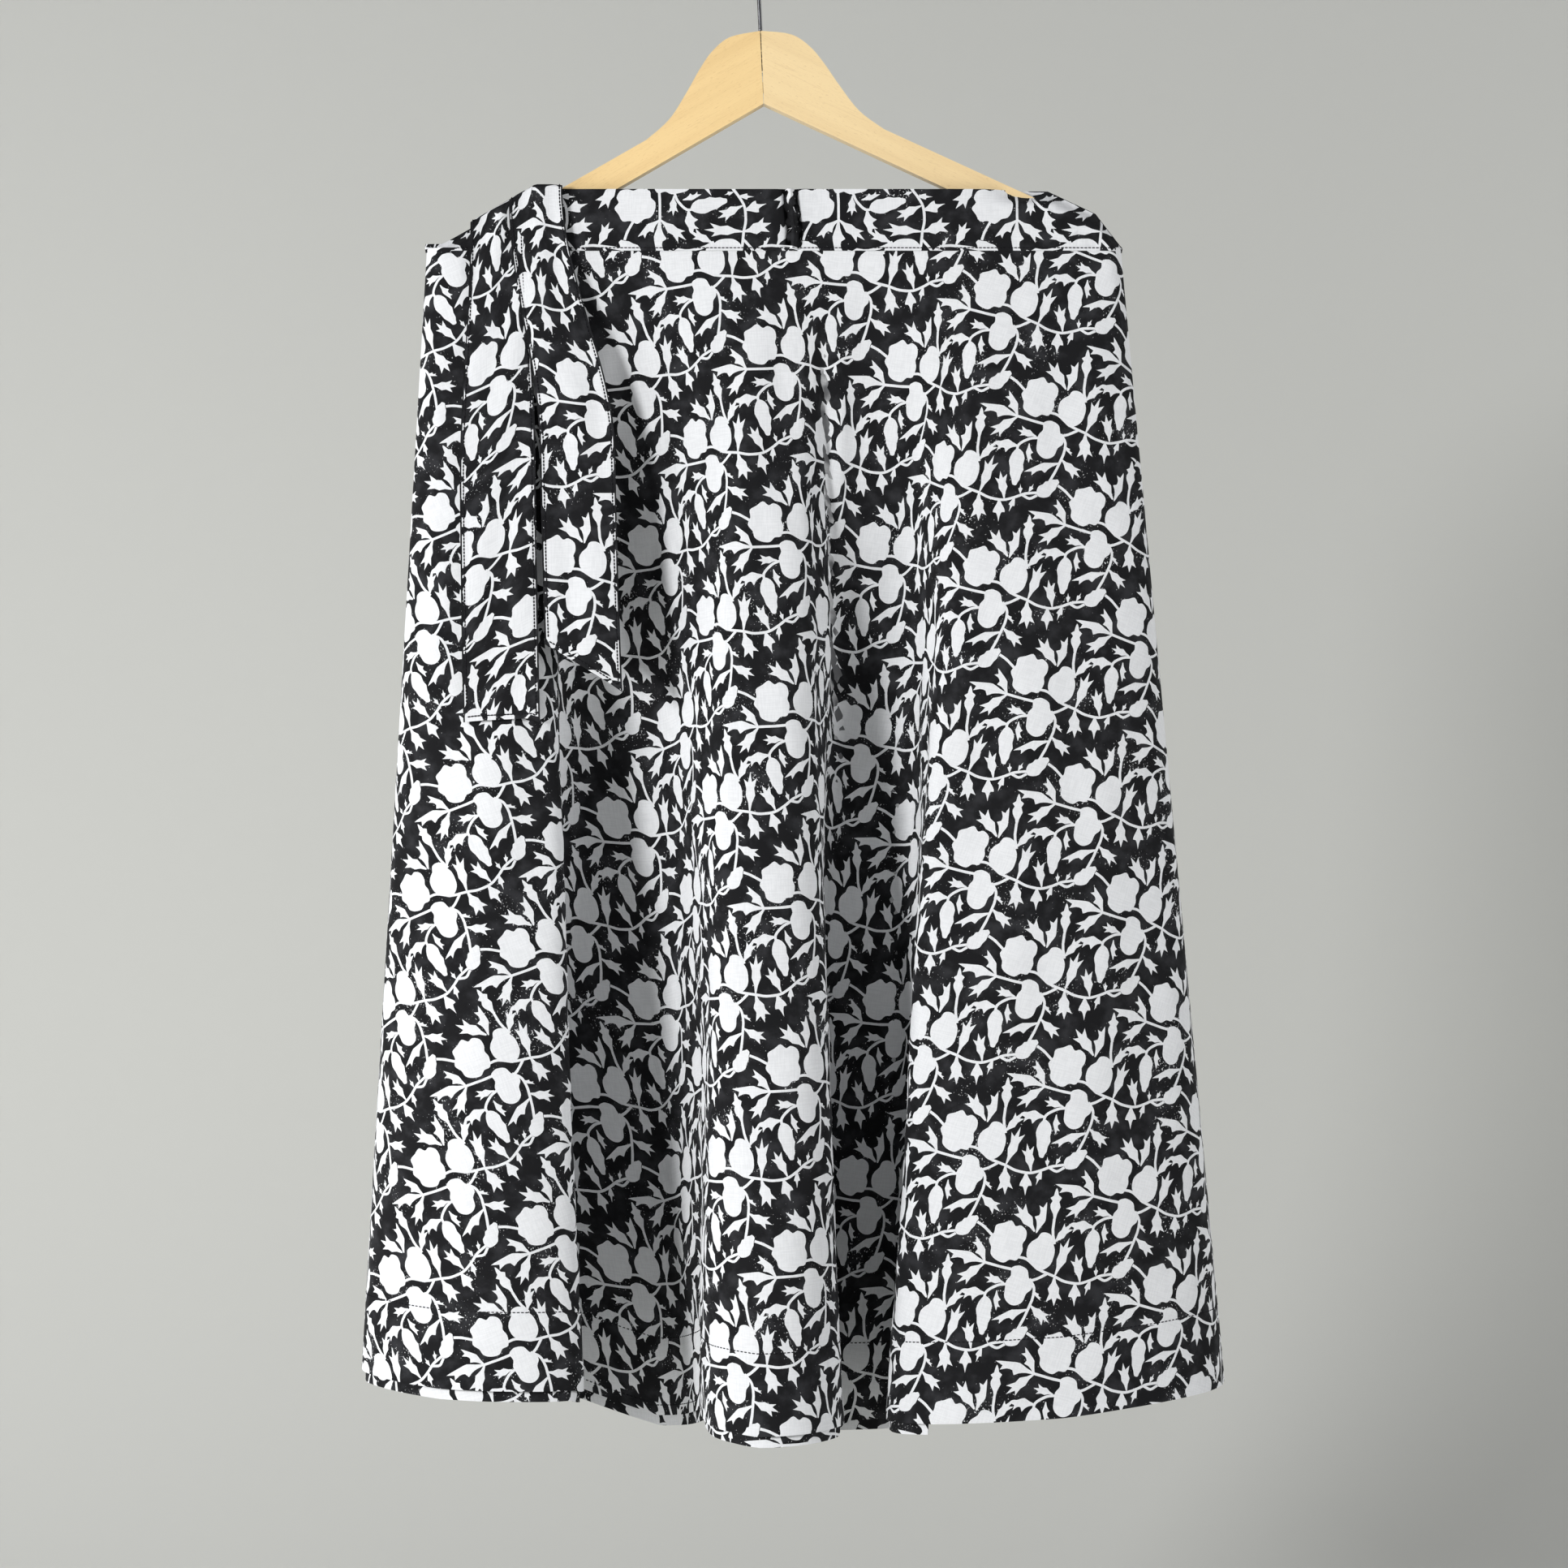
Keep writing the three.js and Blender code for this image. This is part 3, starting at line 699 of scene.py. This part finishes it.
def clothPoint(loop, along, down, offset, top=None):
    along = np.clip(along, 0, 1)
    waist, hem = onLine(loop["waist"], along), onLine(loop["hem"], along)
    waistWay, hemWay = onLine(loop["waistWay"], along), onLine(loop["hemWay"], along)
    waistWay = waistWay / np.linalg.norm(waistWay, axis=1)[:, None] * loop["waist"]["length"]
    hemWay = hemWay / np.linalg.norm(hemWay, axis=1)[:, None] * loop["hem"]["length"]
    d = np.clip(down, 0, 2)[:, None]
    way = waistWay * (1 - d) + hemWay * d
    way = way / np.linalg.norm(way, axis=1)[:, None]
    plan = waist + (hem - waist) * d
    share = np.clip((hem[:, 0] - skirt["hemLeft"]) / (skirt["hemRight"] - skirt["hemLeft"]), 0, 1)
    rise = np.interp(share, [a for a, _ in hemRises], [r for _, r in hemRises])
    if loop["side"] < 0:
        rise = rise - skirt["recessDrop"] * np.clip(hem[:, 1], 0, None)
    z = skirt["seam"] + (rise - skirt["length"]) * down
    push = np.asarray(offset)[:, None] if np.ndim(offset) else offset
    plan = plan + np.stack([way[:, 1], -way[:, 0]], -1) * push
    return np.column_stack([plan, z if top is None else top])


def panelPlace(loop, offset, angle):
    def place(flat):
        radius = np.hypot(flat[:, 0], flat[:, 1])
        along = (np.arctan2(flat[:, 0], -flat[:, 1]) - angle) / loop["spread"]
        down = (radius - loop["radius"]) * mm / skirt["length"]
        x, y = along * loop["hem"]["length"] / mm, down * skirt["length"] / mm
        calm = smooth(down, 0.0, 0.12) * smooth(along, 0, 0.03) * smooth(1 - along, 0, 0.03)
        (swayHigh, swayLong), (high, long) = hang["sway"], hang["crumple"]
        sway = ripple(x, y * 0.3, swayLong, 3 if loop["side"] < 0 else 5) * swayHigh + ripple(x, y, long, 8) * high
        crease = (skirt["length"] / mm - skirt["facing"] / mm - y) / hang["pullReach"]
        pull = -hang["pull"] * np.exp(-crease * crease) * (0.6 + 0.4 * ripple(x, y * 0, 9, 4))
        offsets = sway * calm + pull
        if loop["side"] < 0:
            valley = (along - hang["valley"] - hang["valleyDrift"] * down) / hang["valleyWidth"]
            sink = hang["sink"] * np.exp(-valley * valley) * smooth(down, 0.05, 0.16)
            offsets = offsets - sink * (1 - smooth(down, 0.28, 0.5))
        return clothPoint(loop, along, down, offset + offsets * mm)

    return place


def sector(loop, angle, span, top, bottom, step=7.0):
    low, high = angle + loop["spread"] * span[0], angle + loop["spread"] * span[1]
    r0, r1 = loop["radius"] + top, loop["radius"] + bottom
    at = lambda r, t: (r * math.sin(t), -r * math.cos(t))
    arc = lambda r, a, b: [at(r, t) for t in np.linspace(a, b, max(3, int(r * abs(b - a) / step)))]
    down = np.linspace(r0, r1, max(2, int((r1 - r0) / step)))[1:-1]
    outline = arc(r1, low, high) + [at(r, high) for r in down[::-1]]
    outline += arc(r0, high, low) + [at(r, low) for r in down]
    return np.array(outline)


def sectorCut(loop, share, top, bottom):  # the smallest rectangle round the cut, and the cut's own area
    spread, r0, r1 = loop["spread"] * share, loop["radius"] + top, loop["radius"] + bottom
    area = spread * (r1 * r1 - r0 * r0) / 2
    return (2 * r1 * math.sin(spread / 2) * mm, (r1 - r0 * math.cos(spread / 2)) * mm), area * mm * mm


cut = {  # millimetres
    "seam": 2.0,  # of cloth above the waist seam
    "facingTuck": 4.0,  # how far the facing runs above its row of stitches
    "facingIn": 1.0,  # how far the facing stops short of the hem
    "facingShort": 0.004,  # and of the cloth's ends, as a share of its width
    "edgeRow": 7.5,  # a short mended row near the front's hem
    "edgeSpan": (0.2, 0.36),
    "coarse": 11.0,
}
panels = {  # angle and origin lay the print out on the cut, fine is the grid between its corners
    "frontPanel": {
        "loop": frontLoop, "offset": 0.0, "share": 1.0, "drop": 0.0, "node": "front_panel",
        "angle": math.radians(-26.3), "origin": (-10.2, 19.9), "fine": 6.0,
    },
    "underPanel": {
        "loop": frontLoop, "offset": -skirt["layer"], "share": skirt["underShare"], "drop": skirt["underDrop"],
        "node": "under_panel", "angle": math.radians(-24), "origin": (47, 33), "fine": 9.0,
    },
    "backPanel": {
        "loop": backLoop, "offset": 0.0, "share": 1.0, "drop": 0.0, "node": "back_panel",
        "angle": math.radians(-27), "origin": (12, 40), "fine": 6.5,
    },
}
for name, panel in panels.items():
    loop, share, angle = panel["loop"], panel["share"], panel["angle"]
    length = (skirt["length"] + panel["drop"]) / mm
    facingLine = length - skirt["facing"] / mm
    short = cut["facingShort"]
    place = panelPlace(loop, panel["offset"], angle)
    outline = sector(loop, angle, (0, share), -cut["seam"], length)
    sheet = cutSheet(name, outline, place, skirt["cloth"], panel["fine"], cut["coarse"], panel["origin"])
    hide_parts(panel["node"])
    facingPlace = panelPlace(loop, panel["offset"] - skirt["cloth"] - skirt["facingGap"], angle)
    stripEnds = facingLine - cut["facingTuck"], length - cut["facingIn"]
    strip = sector(loop, angle, (short, share - short), *stripEnds)
    hemName = "hemFacing" + name[:-5].capitalize()
    hem = cutSheet(hemName, strip, facingPlace, skirt["facingCloth"], 9.0, cut["coarse"], (40, 70))
    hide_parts("hem_facing_" + name[:-5])
    sewn = {"Facing": (facingLine, (short, share - short))}
    if name == "frontPanel":
        sewn["Edge"] = (length - cut["edgeRow"], cut["edgeSpan"])
    rows = []
    for label, (down, span) in sewn.items():
        r, angles = loop["radius"] + down, angle + loop["spread"] * np.linspace(*span, 400)
        line = np.stack([r * np.sin(angles), -r * np.cos(angles)], -1)
        rows.append(stitchesAlong(name + label + "Stitches", place, line))
    for piece in (sheet, hem, *rows):
        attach(piece, "skirt")
    flat, area = sectorCut(loop, share, -cut["seam"], length)
    flat, area = sectorCut(loop, share - 2 * short, *stripEnds)
print("panels hung")

# the waistband
band = {
    "wall": 1.3 * mm,
    "proud": 0.7 * mm,  # of the panel below it
    "tuck": 0.0268,  # where the slit for the ties gathers it
    "turn": math.radians(90),
    "lap": 0.5,  # millimetres that it covers the seam
    "roundEnd": 1.35,  # slope of the rounded right end
    "bulge": 0.5,  # millimetres
    "slitHeight": 5.5,
    "slitWidth": 2.0,
    "dipDepth": 3.2,  # the shadowed dips at the two sides of the slit
    "dipPlace": 4.0,
    "dipWidth": 1.5,
    "creaseTop": (0.2, -0.2056),  # the crease over the arm's right end, and its slope
    "creaseSlope": -1.11,
    "creaseWidth": 1.6,
    "creaseHeight": 0.9,
    "closeFrom": 0.150,  # out from the middle, where the top edges start to meet
    "closeFull": 0.190,
    "fine": 4.5,
    "coarse": 6.0,
    "slitFine": (1.0, 1.5),  # grid at the slit, across and up
    "slitReach": 14,
    "slitShift": 3.5,
    "stitchEnd": 3.0,
    "stitchUp": 1.6,
}
# the middle of the hanger's arms
middleX = (skirt["waistLeft"] + skirt["waistRight"] + skirt["leftEase"] - skirt["rightEase"]) / 2


def bandHeight(x):
    out = np.abs(x - middleX)
    arm = hanger["hump"] - hanger["armRootDrop"] - (out - hanger["armRoot"]) * math.tan(hanger["armFall"])
    arm = arm + math.sin(hanger["tilt"]) * (x - middleX) + skirt["bandRise"]
    top = np.maximum(np.minimum(skirt["bandTop"], arm), skirt["seam"] + skirt["bandLeast"])
    corner = skirt["seam"] + skirt["bandLeast"] / 2 + (skirt["waistRight"] - x) * band["roundEnd"]
    return np.minimum(top, corner)


def bandPlace(loop, offset, side):
    def place(flat):
        along = flat[:, 0] * mm / loop["waist"]["length"]
        x = onLine(loop["waist"], np.clip(along, 0, 1))[:, 0]
        z = skirt["seam"] + flat[:, 1] * mm
        top = bandHeight(x)
        share = np.clip((z - skirt["seam"]) / (top - skirt["seam"]), 0, 1)
        bulge = band["bulge"] * np.sin(math.pi * share) + 0.25 * ripple(flat[:, 0], flat[:, 1], 38, 11)
        if side < 0:
            fade = smooth(share, -0.1, 0.12)
            slit = (x - band["tuck"]) / mm - 1.5 * np.sin(share * 4 + 0.5)
            bulge = bulge + band["slitHeight"] * np.exp(-((slit / band["slitWidth"]) ** 2)) * fade
            dip = (np.abs(slit) - band["dipPlace"]) / band["dipWidth"]
            bulge = bulge - band["dipDepth"] * np.exp(-(dip**2)) * fade
            creaseX, creaseZ = band["creaseTop"]
            crease = ((x - creaseX) - (z - creaseZ) * band["creaseSlope"]) / mm / band["creaseWidth"]
            fold = band["creaseHeight"] * np.exp(-np.abs(crease)) * smooth(share, -0.1, 0.2)
            bulge = bulge + fold * (x > creaseX - 0.01)
        made = clothPoint(loop, along, np.zeros(len(flat)), offset + bulge * mm, top=z)
        close = smooth(np.abs(x - middleX), band["closeFrom"], band["closeFull"]) * smooth(z, top - 0.012, top)
        made[:, 1] = made[:, 1] * (1 - close) + close * (side * 0.4 * mm + offset * 0.3)
        return made

    return place


def bandOutline(loop, share, lap):
    length = loop["waist"]["length"] * share / mm
    s = np.linspace(0, length, int(length / 4))
    x = onLine(loop["waist"], s * mm / loop["waist"]["length"])[:, 0]
    top = (bandHeight(x) - skirt["seam"]) / mm
    lower = [(a, -lap) for a in s]
    upper = [(a, h) for a, h in zip(s[::-1], top[::-1])]
    return np.array(lower + upper)


bands = {
    "bandFront": (frontLoop, band["proud"], 1.0, "waistband_front", -1, (29, 31)),
    "bandUnder": (frontLoop, -skirt["layer"] + 0.3 * mm, skirt["underShare"], "waistband_under", 0, (60, 20)),
    "bandBack": (backLoop, band["proud"], 1.0, "waistband_back", 1, (33, 11)),
}
for name, (loop, offset, share, node, side, origin) in bands.items():
    place = bandPlace(loop, offset, side)
    outline = bandOutline(loop, share, band["lap"])
    extra = None
    if side < 0:
        at = (band["tuck"] - skirt["waistLeft"]) / mm + band["slitShift"]
        across = np.arange(-band["slitReach"], band["slitReach"], band["slitFine"][0])
        extra = np.array([(at + a, b) for a in across for b in np.arange(0.6, 43, band["slitFine"][1])])
    sheet = cutSheet(
        name, outline, place, band["wall"], band["fine"], band["coarse"], origin, band["turn"], extra, inside=blockPrint
    )
    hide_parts(node)
    length = loop["waist"]["length"] * share / mm
    rows = []
    if side:
        low, end = band["stitchUp"], band["stitchEnd"]
        rows.append(stitchesAlong(name + "Stitches", place, [(end, low), (length - end, low)], pitch=2.8))
    for piece in (sheet, *rows):
        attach(piece, "skirt")
    high = float(np.ptp(outline[:, 1])) * mm
    x, y = outline[:, 0], outline[:, 1]
    area = abs(np.sum(x * np.roll(y, -1) - np.roll(x, -1) * y)) / 2 * mm * mm
print("waistband sewn")

# the two ties
ties = {  # millimetres; left and right are the lengths of a tie's two edges
    "tieLeft": {
        "node": "tie_left", "left": 358, "right": 386,
        "beside": 0, "drift": 6, "origin": (5, 20), "seed": 21,
    },
    "tieRight": {
        "node": "tie_right", "left": 330, "right": 364,
        "beside": 1, "drift": 8, "origin": (-30, 60), "seed": 22,
    },
    "start": 52, "gap": 4.2, "topWidth": 38, "width": 54, "spread": 190, "apart": 2.5, "overlap": 10,
    "wall": 0.9 * mm,
    "thread": 0.95 * mm,
    "ahead": 2.6,  # how far the right tie lies in front at the top
    "over": 15.0,  # length that turns over the band
    "tail": 7.0,  # and hangs behind it
    "turnDepth": 4.4,
    "turnRise": 1.8,
    "pleat": 0.7,
    "wave": (0.9, 60),  # height, length
    "curl": 0.96,  # how far the edges turn back
    "hemIn": 2.6,  # from the edge to the stitches
    "fine": 3.6,
    "coarse": 5.0,
    "turn": math.radians(-8),
}
tieLean = (0.86 * skirt["foldDepth"] - skirt["frontReach"]) / (skirt["length"] - 0.034)


def tieWidth(down):
    return ties["topWidth"] + (ties["width"] - ties["topWidth"]) * smooth(down, 0, ties["spread"])


def tiePlace(tie):
    def place(flat):
        down = -flat[:, 1]
        width = tieWidth(down)
        across = flat[:, 0] / ties["width"]  # from -0.5 to 0.5
        share = np.clip(down, 0, None) / tie["right"]
        loose = smooth(down, 0, ties["spread"])  # at the top one tie lies over the other
        middle = skirt["waistLeft"] / mm + ties["start"] + tie["drift"] * share * share
        middle = middle + tie["beside"] * (width + ties["apart"] * loose - ties["overlap"] * (1 - loose))
        x = (middle + across * width) * mm
        top = bandHeight(x) + (1.2 - 0.6 * smooth(np.abs(across), 0.3, 0.5)) * mm
        z = top - np.clip(down, 0, None) * mm
        ahead = ties["gap"] + ties["ahead"] * tie["beside"] * (1 - loose)
        y = -(skirt["frontReach"] + ahead * mm) - tieLean * np.maximum(0, skirt["seam"] - z)
        turn = np.clip(-down / ties["over"], 0, 1) * math.pi
        back = np.clip(-down - ties["over"], 0, None)
        y = y + (1 - np.cos(turn)) * ties["turnDepth"] * mm
        z = z + np.sin(turn) * ties["turnRise"] * mm - back * mm
        pleat = ties["pleat"] * np.sin(across * 11 + 0.5 + down / 26) * (1 - 0.75 * smooth(down, 10, 170))
        high, long = ties["wave"]
        soft = high * ripple(flat[:, 0] * 1.6, flat[:, 1] * 0.35, long, tie["seed"]) * smooth(down, 0, 40)
        curl = ties["curl"] * (2 * across) ** 2 * smooth(down, 30, 150)
        y = y - (pleat * np.clip(1 - turn / 2, 0, 1) + soft - curl) * mm
        return np.column_stack([x, y, z])

    return place


for name in ("tieLeft", "tieRight"):
    tie = ties[name]
    half, left, right = ties["width"] / 2, tie["left"], tie["right"]
    reach = ties["over"] + ties["tail"]
    ends = np.linspace(-half, half, 9)
    edge = lambda x, low: [(x, y) for y in np.arange(4 - low, reach - 2, 6.0)]
    outline = [(x, -(left + (right - left) * (x + half) / (2 * half))) for x in ends]
    outline += edge(half, right) + [(x, reach) for x in ends[::-1]] + edge(-half, left)[::-1]
    place = tiePlace(tie)
    sheet = cutSheet(
        name, np.array(outline), place, ties["wall"], ties["fine"], ties["coarse"], tie["origin"], ties["turn"],
        inside=blockPrint, outside=tiePrintHemShade,
    )
    sewn = half - ties["hemIn"]
    lines = {
        "Left": [(-sewn, 8), (-sewn, 5 - left)],
        "Right": [(sewn, 8), (sewn, 5 - right)],
        "End": [(3 - half, 2 - left), (half - 3, 5 - right)],
    }
    rows = [
        stitchesAlong(name + label + "Stitches", place, line, pitch=2.5, width=ties["thread"])
        for label, line in lines.items()
    ]
    for piece in [sheet, *rows]:
        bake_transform(piece)
    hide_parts(tie["node"])
    flat = (2 * half * mm, (right + reach) * mm)
    area = flat[0] * ((left + right) / 2 + reach) * mm * 0.93  # the gathered top is cut narrower
print("ties hung")

# the wooden hanger and its hook
woodLeft = makeWood("paleWoodLeft", hanger["armFall"] + hanger["tilt"], wood["left"])
woodRight = makeWood("paleWoodRight", hanger["tilt"] - hanger["armFall"], wood["right"])
woodDowel = makeWood("dowelWood", 0.0, wood["dowel"])
for node, material in (("hanger_arm_left", woodLeft), ("hanger_arm_right", woodRight), ("centre_dowel", woodDowel)):
    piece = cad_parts[node]
    piece.data.materials.clear()
    piece.data.materials.append(material)
    weld = piece.modifiers.new("weld", "WELD")
    weld.merge_threshold = hanger["slack"]
    rounding = piece.modifiers.new("rounding", "BEVEL")
    rounding.width = hanger["dowelRounding" if node == "centre_dowel" else "rounding"]
    rounding.segments = 4
    rounding.limit_method = "ANGLE"
    rounding.angle_limit = math.radians(50)
    rounding.harden_normals = False

hook = {
    "wire": 0.0014,
    "centre": -0.020,
    "foot": -0.1122,
    "stem": 0.028,  # bare, above the wood
    "splits": (0.024, 0.026),  # rings in the stem, from its foot and from the neck
    "bend": 0.01976,
    "lean": math.radians(52),
    "run": 0.00708,
    "open": math.radians(264),
    "head": 0.0026,  # radius and height
    "roundings": (0.0006, 0.0004),  # of the cut end and of the head
}


def makeHook():
    neck = hanger["hump"] + hook["stem"]
    low, high = hook["splits"]
    start = hook["foot"] + 0.002  # inside the head
    bpy.ops.object.select_all(action="DESELECT")
    bpy.ops.mesh.primitive_circle_add(vertices=16, radius=hook["wire"], fill_type="NGON", location=(0, 0, start))
    wire = bpy.context.object
    wire.name = "hookWire"
    mode("EDIT")
    bpy.ops.mesh.select_mode(type="FACE")
    bpy.ops.mesh.select_all(action="SELECT")
    for rise in (low, neck - hook["foot"] - high):
        bpy.ops.mesh.extrude_region_move(TRANSFORM_OT_translate={"value": (0, 0, rise)})
    bpy.ops.mesh.spin(steps=10, angle=hook["lean"], center=(hook["bend"], 0, neck), axis=(0, -1, 0))
    way = (math.sin(hook["lean"]), 0, math.cos(hook["lean"]))
    bpy.ops.mesh.extrude_region_move(TRANSFORM_OT_translate={"value": tuple(c * hook["run"] for c in way)})
    bpy.ops.mesh.spin(steps=56, angle=hook["open"], center=(0, 0, hook["centre"]), axis=(0, 1, 0))
    bpy.ops.mesh.bevel(offset=hook["roundings"][0], segments=3, affect="EDGES")
    bpy.ops.mesh.select_all(action="SELECT")
    bpy.ops.mesh.normals_make_consistent(inside=False)
    mode("OBJECT")
    centre = (0, 0, hook["foot"] + hook["head"] / 2)
    bpy.ops.mesh.primitive_cylinder_add(vertices=24, radius=hook["head"], depth=hook["head"], location=centre)
    mode("EDIT")
    bpy.ops.mesh.select_all(action="SELECT")
    bpy.ops.mesh.bevel(offset=hook["roundings"][1], segments=2, affect="EDGES")
    mode("OBJECT")
    wire.select_set(True)
    bpy.context.view_layer.objects.active = wire
    bpy.ops.object.join()
    bpy.ops.object.transform_apply(location=True, rotation=True, scale=True)
    lean = math.sin(hanger["tilt"]), math.cos(hanger["tilt"])
    for vertex in wire.data.vertices:  # the hook leans with the hanger
        x, z = vertex.co.x, vertex.co.z
        vertex.co.x, vertex.co.z = x * lean[1] - z * lean[0], x * lean[0] + z * lean[1]
    bpy.ops.object.shade_smooth_by_angle(angle=math.radians(40))
    wire.data.materials.append(makeWire())
    wire.select_set(False)
    return wire


hookWire = makeHook()
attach(hookWire, "hook")
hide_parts("hook")
print("hook bent")

# floor, backdrop, light and camera
room = {"floor": -1.50, "wall": 1.15, "size": 9, "height": 5, "corner": 0.6, "grey": (0.6, 0.603, 0.575, 1)}


def makeRoom():
    bpy.ops.object.select_all(action="DESELECT")
    half = room["size"] / 2
    bpy.ops.mesh.primitive_plane_add(size=room["size"], location=(0, room["wall"] - half, room["floor"]))
    sweep = bpy.context.object
    sweep.name = "backdrop"
    mode("EDIT")
    bpy.ops.mesh.select_mode(type="EDGE")
    bpy.ops.mesh.select_all(action="DESELECT")
    mode("OBJECT")
    for edge in sweep.data.edges:
        edge.select = all(sweep.data.vertices[v].co.y > 4 for v in edge.vertices)
    mode("EDIT")
    bpy.ops.mesh.extrude_region_move(TRANSFORM_OT_translate={"value": (0, 0, room["height"])})
    mode("OBJECT")
    for edge in sweep.data.edges:
        ends = [sweep.data.vertices[v].co for v in edge.vertices]
        edge.select = all(abs(e.y - half) < 0.01 and e.z < 0.1 for e in ends)
    mode("EDIT")
    bpy.ops.mesh.bevel(offset=room["corner"], segments=12, affect="EDGES")
    mode("OBJECT")
    bpy.ops.object.transform_apply(location=True, rotation=True, scale=True)
    bpy.ops.object.shade_smooth()
    material, tree, shader = newMaterial("paleGrey", 0.9)
    where = put(tree, "ShaderNodeTexCoord").outputs["Object"]
    darker = tuple(c * 0.97 for c in room["grey"][:3]) + (1,)
    tone = blendColours(tree, spots(tree, where, 0.6), room["grey"], darker)
    tree.links.new(tone, shader.inputs["Base Color"])
    behind = put(tree, "ShaderNodeNewGeometry").outputs["Backfacing"]  # clear from behind
    clear = put(tree, "ShaderNodeBsdfTransparent").outputs[0]
    either = put(tree, "ShaderNodeMixShader", i0=behind, i1=shader.outputs[0], i2=clear).outputs[0]
    tree.links.new(either, tree.nodes["Material Output"].inputs["Surface"])
    sweep.data.materials.append(material)
    sweep.select_set(False)
    return sweep


makeRoom()


lights = {  # place, target, size, power
    "keyLight": ((-2.4, -2.4, 0.05), (0.0, 0, -0.75), 0.7, 82),
    "fillLight": ((3.0, -1.5, 0.0), (0.2, 0, -0.8), 1.4, 44),
    "wallLight": ((-1.3, -0.5, -0.9), (0.35, 1.15, -1.05), 1.0, 7),
    "sky": ((0.95, 0.97, 1, 1), 0.175),  # colour, strength
}
for name in ("keyLight", "fillLight", "wallLight"):
    place, target, size, power = lights[name]
    lamp = bpy.data.lights.new(name, "AREA")
    lamp.shape = "DISK"
    lamp.size = size
    lamp.energy = power
    made = bpy.data.objects.new(name, lamp)
    made.location = place
    made.rotation_mode = "QUATERNION"
    made.rotation_quaternion = (Vector(target) - Vector(place)).to_track_quat("-Z", "Y")
    view.collection.objects.link(made)
world = bpy.data.worlds.new("softLight")
world.use_nodes = True
for socket, value in zip(world.node_tree.nodes["Background"].inputs, lights["sky"]):
    socket.default_value = value
view.world = world
view.view_settings.view_transform = "Standard"
view.view_settings.look = "None"

eye = {"place": (0.0209, -2.6, -0.6291), "lens": 82.4}
lens = bpy.data.cameras.new("eye")
lens.lens = eye["lens"]
lens.sensor_width = 36
lens.clip_end = 50
camera = bpy.data.objects.new("eye", lens)
camera.location = eye["place"]
camera.rotation_euler = (math.radians(90), 0, 0)
view.collection.objects.link(camera)
view.camera = camera
print("room lit")

bpy.context.view_layer.update()
